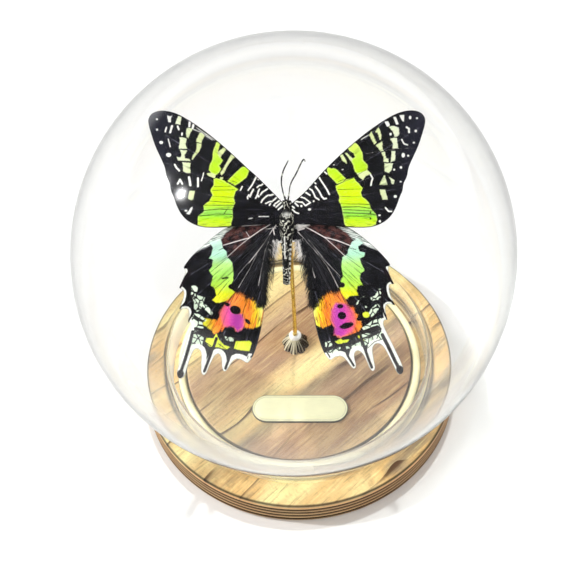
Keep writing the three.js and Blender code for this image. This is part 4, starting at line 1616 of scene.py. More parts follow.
FOREWING_MARKS: dict[Side, dict[str, list[Mark]]] = {
    Side.LEFT: {
        "lime": [
            [(18.8, 11.7), (19.6, 11.5), (19.6, 10), (20.5, 8.5), (19.9, 7.2), (20.8, 5.6), (22.4, 4.4),
             (22.1, 2.9), (23.8, 1.5), (23.9, -0.6), (22.9, -1.8), (16.3, -2), (15.1, -1), (14.5, 1.3),
             (14.6, 3.6), (13.9, 5.2), (14.3, 6.5), (13.8, 8.1), (13, 8.8), (14.2, 9.5), (16.3, 10.7),
             (17.5, 11.4)],
            [(10.1, 14), (10.8, 14.8), (12.1, 14.7), (13.7, 13.3), (16, 10.9), (13.9, 9.7), (12.6, 10.6),
             (10.9, 11.9), (10.4, 12.9)],
            [(17.8, 21.1), (18.8, 21.5), (19.2, 20.5), (19.9, 18.6), (19.9, 16.7), (20.7, 15.2),
             (20.9, 13.9), (20.3, 13.1), (19.2, 12.5), (18.2, 13.1), (17.6, 14.2), (18.2, 15),
             (17.1, 16.4), (17.9, 17.4), (18.5, 18.6), (18.2, 19.8)],
        ],
        "pale": [
            [(16.1, 19.7), (16.7, 20.1), (18.6, 18.6), (17.9, 17.2)],
            [(19, 12.7), (20.4, 13.2), (21.5, 13), (20.8, 12.2), (19.4, 11.7)],
            [(13.7, 17.5), (15, 18), (16.1, 16), (16.9, 14.6), (17.9, 13.1), (17.5, 12.5), (16.7, 13.3),
             (16.2, 14.6), (14.7, 16.7)],
            [(22, 23.1), (22.8, 23.9), (23.4, 23.7), (24.2, 21.9), (24.1, 20.9), (24.2, 19.4),
             (24.7, 18.4), (25.4, 17.3), (25.3, 16.6), (24.5, 17.6), (23.6, 18.6), (22.9, 20.2),
             (22.8, 21.6), (22.2, 22.6)],
            [(25.1, 24.9), (26.8, 25.2), (27, 23.6), (26.8, 22.5), (26.3, 22.4), (25.9, 23.8)],
            [(28.2, 28), (29.1, 28.2), (29.9, 26.2), (28.5, 26)],
            [(26.7, 22.3), (28.7, 22.7), (28.6, 21.3), (29, 19.5), (26.7, 19.5), (27.2, 20.8)],
            [(26.7, 19.1), (28.6, 19.2), (28.2, 18.1), (28.4, 17.2), (29.4, 17.3), (29.2, 16.4),
             (25.9, 16.3), (26.1, 16.9), (27.3, 17), (27.3, 17.9)],
            [(25.7, 15.8), (27.9, 15.9), (27.7, 13.6), (26.9, 13.1), (25.7, 13.1), (26, 14.4)],
            [(24.6, 8.4), (26, 8.3), (26.5, 6.3), (25.5, 5.7), (25, 6.4)],
            [(17, 11.9), (17.8, 12), (18, 11.5), (17.3, 11.3)],
        ],
        "white": [
            Stroke([(25, 26), (25.2, 25)], 0.5), Stroke([(26, 26.7), (26.1, 25.5)], 0.5),
            [(30.6, 28.5), (31.2, 28.1), (32, 28.5), (31.9, 27.6), (31.7, 26.6), (31, 26.6), (31, 27.7)],
            Stroke([(29.2, 25.5), (28.9, 24.7)], 0.5), Stroke([(30.7, 25.6), (31.2, 23.9)], 0.55),
            Stroke([(32.2, 25.2), (32.5, 24.1)], 0.4), Stroke([(28, 23.7), (28.1, 23.2)], 0.4),
            Spot(34.7, 27.4, 0.3, 0.25), Spot(34.7, 24.6, 0.28, 0.28), Spot(33.6, 21.2, 0.5, 0.42),
            Spot(31.6, 17.9, 0.65, 0.55), Stroke([(31.7, 22.1), (31.2, 20.1)], 0.3),
            Stroke([(28.8, 13.7), (29.5, 14.4), (30, 15.3)], 0.5),
            Stroke([(23.8, 11.7), (23.8, 9.5)], 0.5), Stroke([(26.2, 11.9), (25.8, 9.8)], 0.6),
            Stroke([(22.3, 13.1), (22.5, 12.2), (22.9, 11)], 0.3),
            Stroke([(28, 10.2), (28.6, 11.3), (29.2, 10.2)], 0.5),
            [(25.2, 4.1), (25.7, 3.9), (26.3, 2.9), (27, 2.2), (26, 2), (25.4, 3.2)],
            Spot(27, 3, 0.35, 0.25), Stroke([(19.4, 21.9), (24.2, 25.2)], 0.13),
            Stroke([(20, 21.9), (23, 23.9), (25.6, 25)], 0.12),
            Stroke([(8.1, 12.3), (8.7, 11.2), (9.3, 10), (9.9, 9.2), (10.4, 8.5)], 0.4),
            Stroke([(7.3, 12), (7.7, 11.4)], 0.3),
            Stroke([(6.3, 10.4), (6.8, 9.9), (7.4, 9.8), (8, 9.3)], 0.36),
            Stroke([(5.2, 8.9), (6, 8.4), (6.6, 8), (7.1, 7.3)], 0.4),
            Stroke([(7.4, 8.8), (7.7, 8.2), (7.9, 7.3), (8.4, 6.4)], 0.4), Spot(7.6, 6.9, 0.3, 0.3),
            Stroke([(9, 8.7), (9.5, 7.8), (9.9, 6.8)], 0.48),
            Stroke([(10.2, 7.3), (10.6, 6.7), (10.5, 6.2)], 0.36), Stroke([(12, 9.5), (12.5, 8.5)], 0.34),
            Stroke([(3.5, 7.5), (4.3, 7.2), (4.8, 7.2)], 0.4),
            Stroke([(5.1, 7.2), (5.8, 6.7), (6.5, 6), (6.9, 5.3)], 0.4),
            Stroke([(2.6, 6.8), (3.2, 6.2), (3.7, 5.8)], 0.4),
            Stroke([(4, 5.5), (4.7, 5.5), (5.2, 5.2), (5.7, 5)], 0.36),
            Stroke([(4.4, 5), (4.7, 4.5)], 0.38), Stroke([(2, 5.8), (2.6, 5.3), (3.2, 4.9)], 0.38),
            Spot(3.4, 4.5, 0.3, 0.3), Stroke([(1.5, 5.3), (2.2, 4.7), (2.9, 4)], 0.38),
            Stroke([(1.1, 4.4), (1.7, 3.9), (2.3, 3.4)], 0.4),
            Stroke([(4.9, 1.5), (5.4, 1.5), (7.5, 1.5)], 0.26), Stroke([(9.2, 1.1), (10.2, 0.9)], 0.2),
        ],
        "dark_vein": [
            Stroke([(14, 8.6), (20, 8.5)], 0.16), Stroke([(15, 9.6), (19.6, 9.4)], 0.14),
            Stroke([(14.4, 6.6), (19.9, 6.9)], 0.13), Stroke([(14.2, 5.1), (20.6, 5.6)], 0.16),
            Stroke([(14.2, 4.5), (22.3, 4.5)], 0.19), Stroke([(14.5, 3.4), (18, 3.5), (22, 3.1)], 0.22),
            Stroke([(14.6, 2), (19, 2.1), (23.4, 1.6)], 0.17),
            Stroke([(13.2, 9.2), (15, 10.3), (16.9, 11.4)], 0.16), Stroke([(15.9, 3.6), (17, 2)], 0.2),
            Stroke([(13.4, 10.6), (14.7, 11)], 0.12), Stroke([(14.1, 10.1), (15.3, 10.7)], 0.12),
            Stroke([(22.6, 20.9), (24.3, 21.3)], 0.22),
            Stroke([(24.3, 22.3), (29.3, 23), (33, 23.3)], 0.1),
        ],
    },
    Side.RIGHT: {
        "lime": [
            [(18.1, 11.8), (18.6, 11), (19.7, 9.9), (20.4, 9), (19.9, 7.8), (20.3, 6.7), (21.6, 5.7),
             (22.3, 4.7), (22.6, 3.5), (23.9, 2.2), (24.3, 0.7), (23.9, -0.6), (21.8, -1.8), (16.8, -1.7),
             (15.6, -0.6), (15.3, 1.3), (15, 3.1), (14.6, 4.7), (14, 5.6), (14.3, 6.7), (13.4, 8.6),
             (13.2, 9.7), (14.7, 10.4), (16, 11.3)],
            [(10.9, 14.8), (11.6, 14.4), (13.2, 14.3), (14.3, 13.2), (15.9, 11.6), (15, 10.7),
             (13.7, 10.1), (12.4, 11.4), (11.3, 12.6), (10.9, 13.6)],
            [(16.5, 19.6), (18.4, 21.2), (19.2, 20.5), (20.3, 18.6), (20.5, 16.5), (21.8, 15.1),
             (21.6, 13.6), (19.3, 12.6), (18.3, 13.5), (17.9, 15.2), (17.1, 16.8), (17.9, 17),
             (18.4, 17.3), (18, 18.3), (17, 19)],
        ],
        "pale": [
            [(15.7, 18.4), (16.2, 18.4), (17.8, 16.9), (17.4, 16)],
            [(18.9, 12.9), (21.6, 13.8), (22.8, 12.9), (21.1, 12.2), (20.5, 11.1), (19.5, 12)],
            [(14.2, 17.9), (15.1, 18), (16.1, 16.3), (16.1, 15.6), (15, 16.4)],
            [(22.1, 23.2), (22.7, 24.1), (23.3, 22.9), (24.1, 21.2), (23.5, 20.7), (22.7, 22)],
            [(23.8, 20.4), (25.6, 21.5), (25.6, 19.7), (26, 18.9), (25, 18.8), (24.4, 19.9)],
            [(25.3, 18.5), (26.3, 18.7), (26.6, 17.1), (27.3, 16.8), (27.2, 15.9), (26, 16), (26, 17.3)],
            [(26.2, 15.6), (28.4, 15.6), (28.2, 14.2), (27.4, 13), (26.3, 13.5)],
            [(26, 12.2), (24.8, 9.9), (27, 9.9), (26.6, 11.3), (26.3, 12.4)],
            [(27.3, 12.1), (28.9, 11), (28.7, 10), (28, 10.2), (27.9, 11.2)],
            [(24.8, 8.6), (26.4, 8.6), (27.1, 6), (25.7, 5.9), (25.2, 7.6)],
            [(23.7, 24), (24.6, 25.2), (24.9, 24.7), (25.4, 22.8), (25.2, 21.7), (24.8, 22.3),
             (24.5, 23.7)],
            [(27.3, 25.4), (28.7, 25.6), (30, 25.1), (30.1, 23.3), (29.5, 22.7), (28.8, 22.7),
             (28.4, 24.2)],
            [(27.7, 22.3), (29.6, 22.4), (29.6, 21.2), (29.9, 19.6), (28.2, 19.5), (28.5, 20.8)],
            [(28.1, 18.9), (29.1, 18.9), (29, 16.4), (27.9, 16)],
        ],
        "white": [
            [(26.2, 26.7), (27.2, 26.8), (27.7, 25.7), (26.9, 25.3)],
            [(28.5, 27.9), (29.2, 28), (30, 26.1), (29.3, 25.9)],
            [(30.2, 28.4), (31.4, 28.5), (31.4, 26.7), (30.9, 26.9)], Spot(27.8, 23.4, 0.3, 0.35),
            Spot(33, 27.8, 0.35, 0.45), Spot(34.8, 27.6, 0.28, 0.25),
            Stroke([(32.1, 25.2), (32.7, 24.8), (32.7, 23.9)], 0.5), Spot(34.5, 24.2, 0.36, 0.34),
            Stroke([(30.8, 21.9), (31.4, 20.8), (32.3, 20.5)], 0.35), Spot(34, 21.1, 0.3, 0.25),
            Spot(31.2, 17.8, 0.42, 0.62), Spot(32.5, 17.6, 0.28, 0.25), Spot(30.6, 14.5, 0.35, 0.35),
            Spot(28.8, 13.9, 0.28, 0.28), Spot(30.5, 10.7, 0.25, 0.2), Spot(29.1, 6.8, 0.4, 0.38),
            Stroke([(22.5, 12.6), (23.1, 11.6), (22.8, 10.8), (22.6, 9.8)], 0.4),
            Stroke([(26.5, 3.8), (27.3, 2.8), (28.1, 2.8)], 0.4), Spot(24.9, 1.8, 0.35, 0.2),
            Spot(25, 0.2, 0.3, 0.35), Spot(12.7, 15.3, 0.2, 0.15), Spot(15, 14, 0.25, 0.12),
            Stroke([(10.2, 13.4), (10.8, 12.9)], 0.35), Stroke([(20, 22), (22, 23.2)], 0.13),
            Stroke([(21.3, 18.2), (25.2, 18.9), (29.8, 19.5), (34, 19.7)], -0.03),
            Stroke([(8.8, 11.9), (9.4, 10.9), (10.1, 9.9), (10.9, 8.6), (11.5, 7.4)], 0.4),
            Stroke([(7.3, 10.7), (7.9, 10.3)], 0.36),
            Stroke([(7.8, 9.5), (8.8, 8.2), (9.5, 6.8), (10.1, 6.2), (10.7, 6.3)], 0.42),
            Stroke([(5, 8), (5.6, 7.7), (6.3, 7.2)], 0.42),
            Stroke([(6.1, 9), (6.9, 8.5), (7.4, 7.5), (7.7, 6.7), (8.7, 6)], 0.4),
            Stroke([(2.3, 5.1), (3.1, 4.3)], 0.4),
            Stroke([(3.7, 6.8), (4.9, 6.4), (5.8, 5.7), (6.4, 5.2), (5.1, 4.4), (4.3, 5.3), (3.3, 5.4),
             (2.4, 5.6)], 0.36),
            Spot(4, 4.3, 0.3, 0.3), Stroke([(1.6, 3.4), (2.3, 2.7), (3.3, 2.3)], 0.34),
            Stroke([(1.6, 4.2), (2.1, 3.8)], 0.36), Spot(6.2, 3.4, 0.42, 0.3), Spot(7.3, 5.6, 0.22, 0.25),
        ],
        "dark_vein": [
            Stroke([(13.8, 8.7), (20, 8.8)], 0.16), Stroke([(14.6, 4.9), (22.2, 4.7)], 0.2),
            Stroke([(14.4, 6.8), (20, 6.7)], 0.13), Stroke([(15, 4), (19.5, 4.1), (22.4, 3.6)], 0.22),
            Stroke([(15.2, 3.3), (23, 2.9)], 0.18), Stroke([(15.2, 2.5), (20, 2.3), (23.8, 2)], 0.22),
            Stroke([(16, 1.6), (22.4, 1.3)], 0.14), Stroke([(13.4, 9.9), (15, 10.6), (17.8, 11.7)], 0.16),
            Stroke([(13.9, 10.8), (15.3, 11.4)], 0.12), Stroke([(19, 12.5), (21.8, 14.3)], 0.1),
            Spot(22.5, 0.9, 0.22, 0.3), Spot(22.5, 2.5, 0.22, 0.22),
        ],
    },
}

HINDWING_MARKS: dict[Side, dict[str, list[Mark]]] = {
    Side.LEFT: {
        "maroon": [
            [(6, 0.6), (15, -1.6), (17.5, -4.2), (17.3, -6.2), (10.5, -4.3), (5.5, -1.4)],
            [(10, -4.8), (15.5, -6.4), (15.2, -9), (12, -8)],
        ],
        "front": [
            [(14.2, -1.2), (17.2, -1.8), (20.2, -4), (23, -6.6), (24.8, -8.4), (22.6, -7), (20.4, -6),
             (17.8, -4.8), (16.6, -3)],
        ],
        "band": [
            [(17.8, -4.4), (20.8, -5.4), (19.8, -6.8), (20.3, -8.9), (20.9, -9.7), (19.8, -10.1),
             (20.1, -12), (20.9, -13), (19.8, -14.5), (20.4, -17), (19.3, -17.9), (18.9, -19.8),
             (20.1, -20.9), (18.9, -21.7), (17, -21.4), (15.8, -21), (13.9, -18.8), (15.4, -17.6),
             (14.5, -15.8), (14.3, -13.9), (14.7, -10.8), (15.9, -9.5), (16.2, -7.9), (17.2, -6.9),
             (17.3, -6)],
        ],
        "ember": [
            [(12, -19.5), (14, -19.2), (15.4, -20.8), (16.4, -21.4), (16.7, -22.6), (17.9, -23.9),
             (17.9, -25.1), (18.6, -26.4), (22, -25.8), (22.8, -27.3), (20.8, -28.6), (19.3, -30.1),
             (17.6, -29.2), (16.6, -28.2), (14.8, -27.7), (13.6, -29.4), (12.9, -29.3), (11.4, -28.3),
             (9.2, -28.6), (7, -27.9), (5.9, -24.5), (6.5, -23.1), (7.9, -23.2), (8.7, -21.6),
             (9.7, -20.9), (11, -20.8)],
        ],
        "magenta": [
            [(15.4, -21.6), (17.4, -23.2), (18, -24.4), (17.6, -26), (16.9, -28), (14.5, -28),
             (13.2, -29.4), (11.6, -28.3), (11.4, -26.2), (12, -24.8), (14.6, -24.4), (15.2, -23)],
        ],
        "lemon": [
            [(9.4, -32.6), (10, -31.9), (13.9, -32.1), (14.3, -34), (12, -34.5), (10.1, -34.7)],
            [(15.2, -33.6), (17, -32.9), (18.3, -31.4), (19, -29.8), (19.7, -31.2), (21.6, -31.1),
             (22, -32), (20.8, -33.4), (18.4, -33.6), (16.2, -34.3)],
        ],
        "pale": [
            [(23.8, -17.8), (24.6, -17), (25.8, -17.2), (25.4, -18.3), (24.2, -19)],
            [(22, -20.2), (24, -19.6), (25.6, -18.6), (25.9, -20), (24.9, -21.3), (25, -23),
             (24.2, -24.1), (23, -23.4), (22.4, -21.6)],
            [(19.8, -24.5), (20.8, -23), (22, -22), (22.8, -22.2), (21.8, -23.6), (20.4, -25)],
            [(21.6, -26.3), (23.4, -24.8), (25.4, -24.3), (26.4, -26.4), (25.6, -28), (26.4, -31),
             (26, -33.6), (22.6, -33.4), (22.2, -31), (24.8, -29.6), (22.4, -28.4), (22.6, -27)],
            [(14.2, -31.1), (16.6, -30.7), (16.5, -31.6), (14.3, -32.2)],
        ],
        "spot": [
            Spot(13.8, -23.6, 1.5, 1.15, 20), Spot(10.5, -26.7, 0.95, 0.5, 45),
            Spot(14.9, -17.3, 0.8, 0.7), Stroke([(15.9, -14.9), (17.3, -15.1)], 0.45),
            Spot(16, -22.1, 0.7, 0.5, 30), Stroke([(26, -13.2), (27.4, -15.4), (28.8, -17.4)], 1.0),
            Stroke([(25, -19.5), (25.8, -20.7), (27.4, -21.7), (28.8, -23.2)], 0.5),
            Stroke([(25.9, -16.6), (26.2, -19), (25.3, -21.4), (25.2, -23.8), (25.7, -25.2),
             (26.4, -26.6)], 0.5),
            Stroke([(19.9, -30.6), (22, -29.1), (24.6, -28.5)], 0.75),
            Stroke([(20.6, -30.9), (22.8, -30), (25, -29.8)], 0.45),
            Stroke([(20.4, -33.2), (22.6, -31.8), (25.3, -30.8)], 0.25),
            Stroke([(22.2, -26.6), (24, -25.6), (25.4, -25.2)], 0.3),
            Stroke([(23, -21.6), (24.6, -21.9)], 0.25),
            Stroke([(22.8, -23.2), (24, -22), (24.9, -20.4)], 0.25),
            Stroke([(25.3, -29.4), (25.9, -32), (27.2, -36.5), (28.4, -40)], 0.85),
            Spot(28.6, -40.7, 0.95, 1.2, 15),
            Stroke([(18.9, -31.2), (20, -34.2), (21.4, -38), (22.2, -40)], 0.75),
            Stroke([(14.1, -32.2), (14.9, -35), (15.9, -37.6), (16.5, -39.3)], 0.75),
            Stroke([(9.3, -35.2), (11.2, -35), (13.8, -34.9), (14.4, -35.6)], 0.32),
            Stroke([(16, -34.4), (18.4, -32.6)], 0.22), Stroke([(9.2, -35.8), (9.7, -36.3)], 0.35),
            Stroke([(10.4, -36), (10.6, -36.6)], 0.25),
        ],
        "dark_vein": [
            Stroke([(13.4, -17.6), (14.2, -19.8), (15.4, -22.4)], 0.16),
            Stroke([(10.6, -20.6), (11.4, -23), (12, -25.6)], 0.16),
            Stroke([(15.4, -22.4), (16.6, -25.4), (17.6, -28.8)], 0.12),
            Stroke([(15.6, -9.4), (18, -11.4), (20.4, -13.4)], 0.16),
            Stroke([(14.5, -13.2), (16.4, -14.7)], 0.16),
            Stroke([(15.4, -14.8), (17, -16), (19.2, -17.8)], 0.14),
            Stroke([(15.4, -15.6), (17, -17.6), (18.6, -19.7)], 0.16),
            Stroke([(16.4, -10.8), (19.6, -14.4)], 0.07), Stroke([(16.6, -6.8), (18.2, -7.5)], 0.2),
            Stroke([(17.2, -12.4), (19.4, -14.8)], 0.08),
        ],
        "white": [
            Stroke([(3.9, -0.3), (7, -2.1), (10, -4.2), (13, -5), (17, -6.2)], 0.2),
            Stroke([(3.9, -0.3), (8, -0.7), (12, -1)], 0.2),
            Stroke([(10, -4.2), (13, -6.6), (16, -9.4)], 0.14), Stroke([(10, -4), (10.9, -2.6)], 0.12),
            Stroke([(3.6, -1.6), (5, -4), (7.4, -7.4), (10.2, -11)], 0.17),
            Stroke([(4.3, -3.6), (5.8, -7.6), (6.6, -11.7), (7.6, -17)], 0.12),
            Stroke([(8, -8.6), (10, -12.6), (13, -17.6)], 0.1), Stroke([(10, -10.4), (13, -14)], 0.08),
            Stroke([(2.9, -0.8), (3.6, -2), (3.3, -3.4)], 0.28),
        ],
    },
    Side.RIGHT: {
        "maroon": [
            [(6, 0.6), (15, -1.8), (17.5, -4.4), (17.3, -6.4), (10.5, -4.5), (5.5, -1.6)],
            [(10, -4.8), (15.5, -6.6), (15, -9), (12, -7.6)],
        ],
        "front": [
            [(13.4, -1.3), (16.8, -2.1), (20, -4.4), (22.4, -6.4), (24, -8), (22.2, -7.1), (20.4, -6.3),
             (18, -5.4), (16.4, -3.4)],
        ],
        "band": [
            [(17.3, -5.8), (19, -4.6), (20.4, -6.1), (19, -7), (19.3, -8.2), (20.8, -8.7), (20.5, -9.8),
             (19.3, -10.1), (19.9, -12), (20.6, -13.4), (19.5, -14.2), (19.2, -15.8), (20.1, -17.4),
             (18.6, -17.5), (18.3, -18.9), (18.8, -20.1), (16.4, -20.2), (15.4, -21.2), (14.1, -19.3),
             (13.9, -17.9), (15.1, -17.5), (14.1, -16.1), (14.8, -14.8), (14.4, -12.3), (14.7, -9.8),
             (16.1, -8.9), (16.4, -7.6)],
        ],
        "ember": [
            [(11.4, -19.2), (12.6, -19.8), (14, -18.9), (14.8, -20.8), (15.9, -22.9), (17.6, -23.3),
             (17.6, -24.7), (18.6, -25.3), (18.1, -26.6), (19.4, -27), (19.6, -28.3), (18.6, -29.8),
             (16.1, -30.7), (13.6, -31.4), (11.8, -30.5), (12.9, -29.3), (11.4, -27.6), (8.9, -28.7),
             (7.1, -27.6), (6.3, -24.2), (7.9, -22.7), (8.7, -21.3), (9.8, -20.3)],
        ],
        "magenta": [
            [(12.6, -22), (15.4, -22.4), (17.2, -24.2), (18, -27), (17, -29.8), (13.8, -31.1),
             (12, -30.4), (12.3, -28.6), (11.2, -26.6), (11.4, -24)],
        ],
        "lemon": [
            Spot(20.7, -25.3, 0.95, 0.8),
            [(12.2, -32.3), (13.8, -31.7), (16, -31.9), (15.2, -33), (13, -33)],
            [(18.3, -30.9), (19.2, -30.6), (20.2, -32.4), (19.4, -32.8)],
        ],
        "pale": [
            [(21.9, -20.8), (23.2, -20.2), (24.4, -18.4), (25, -18.6), (25.1, -20.2), (24, -21.3),
             (22.4, -21.6)],
            [(21.4, -24.8), (22.4, -23.4), (23.8, -22.5), (24.5, -23.2), (23.4, -24.8), (22.2, -26)],
            Stroke([(18.3, -22.4), (18.9, -21.2), (20.4, -20.4)], 0.28), Spot(20.6, -23.2, 0.4, 0.25),
            [(19.5, -28.8), (21.4, -27.6), (23.6, -26.1), (25.2, -26.6), (25.4, -28.4), (26, -30.6),
             (26, -33), (21.4, -33.4), (15, -34.4), (14.6, -33.9), (19.3, -32.5), (21, -31.8),
             (23.9, -30.4), (24.2, -29.2), (22.4, -28.5), (20, -29.5)],
            [(18.6, -30.8), (20.8, -30.2), (22.4, -30.7), (20.6, -31.8), (19.2, -32)],
            [(9.5, -32.6), (10.8, -32.1), (11.6, -33), (10.6, -34), (9.5, -33.6)],
            [(9.8, -35), (13.6, -33.9), (13.8, -35), (11, -35.6)],
        ],
        "spot": [
            Spot(13.8, -22.9, 0.85, 0.6), Spot(14.2, -25.4, 1.15, 1.0), Spot(15.4, -28.1, 1.9, 0.8, 14),
            Spot(18.8, -26.4, 0.65, 0.5), Spot(14.6, -17.2, 0.6, 0.7), Spot(16.8, -21.8, 1.0, 0.9),
            Stroke([(26, -13.4), (27, -15.2), (28.3, -17.1)], 1.0),
            Stroke([(24.9, -18.9), (26.4, -20.6), (28.4, -22.8)], 0.6),
            Stroke([(25.1, -19.8), (24.9, -22.4), (25.5, -24.8), (26.3, -26.6)], 0.5),
            Stroke([(19.6, -27.3), (21.4, -27.2), (22.6, -26), (24.4, -25)], 0.6),
            Stroke([(14.4, -31.6), (16.2, -31.2), (18.3, -30.4)], 0.9),
            Stroke([(18.8, -30.3), (20.6, -29.7), (23.6, -28.6), (24.3, -29.2)], 0.9),
            Stroke([(18.6, -31.9), (21.5, -31.2), (24.4, -29.9)], 0.5),
            Stroke([(10, -34.1), (14, -33.2), (19.4, -32.1)], 0.5),
            Stroke([(24.9, -30.8), (26.4, -33.9), (28, -37.6), (29.2, -40)], 0.95),
            Spot(29.4, -40.2, 1.0, 1.2, 20),
            Stroke([(19.1, -31), (20, -34), (21.2, -37.6), (21.9, -39.4)], 0.75),
            Stroke([(14.4, -33), (15.4, -36), (17, -38.9)], 0.6),
            Stroke([(9.9, -35), (10.7, -36.5)], 0.4),
            Stroke([(21, -34.2), (22.8, -32.6), (25, -31.9)], 0.2),
            Stroke([(11.4, -35.4), (11.6, -34.7)], 0.2),
        ],
        "dark_vein": [
            Stroke([(13.4, -17.8), (14, -19.4), (15.1, -21.8)], 0.16),
            Stroke([(15.6, -9.6), (18, -11.4), (20, -13)], 0.15),
            Stroke([(14.6, -14.4), (16.4, -16.4), (18.4, -18.7)], 0.16),
            Stroke([(14.8, -13.4), (17, -15.2), (19.4, -17.4)], 0.15),
            Stroke([(15.4, -12.2), (19.2, -16.4)], 0.07), Stroke([(16.4, -7.2), (18.4, -7.8)], 0.2),
            Stroke([(9, -21), (8.6, -24)], 0.1), Stroke([(11, -20), (11.4, -24)], 0.1),
            Stroke([(15.2, -22), (17.2, -25.4)], 0.1),
        ],
        "white": [
            Stroke([(4.4, -1), (7, -2.4), (10, -4.2), (13.4, -5.2), (17, -6.7)], 0.22),
            Stroke([(11, -0.9), (14, -1.3), (17, -2.8)], 0.16),
            Stroke([(3.0, -1.7), (4.4, -0.9), (6.0, -0.5)], 0.75),
            Stroke([(3.1, -2.1), (4.6, -1.7)], 0.45), Stroke([(10, -4.2), (13, -7), (15.8, -9.8)], 0.16),
            Stroke([(2.9, -2.6), (5, -5), (8.4, -9)], 0.2),
            Stroke([(8.4, -9), (10.6, -12), (12.4, -15.6), (13.4, -17.8)], 0.12),
            Stroke([(4, -4.4), (5.6, -9.4), (7.2, -15)], 0.2), Stroke([(5.6, -4.6), (9.4, -9.6)], 0.09),
            Stroke([(9, -9.4), (14, -14.8)], 0.08),
        ],
    },
}


@dataclass(frozen=True)
class WingKind:
    """What sets one kind of wing apart: lift over the body, height of the root and depth of its pleats."""

    name: str
    lift: float
    root: tuple[float, float]
    pleats: float
    fields: tuple[str, ...]


FOREWING = WingKind("forewing", 0.45, (0.5, 3.4), 0.10, ("lime", "pale", "white", "dark_vein"))
HINDWING = WingKind(
    "hindwing", -0.35, (1.5, 1.0), 0.16,
    ("maroon", "front", "band", "ember", "magenta", "lemon", "pale", "spot", "dark_vein", "white"),
)


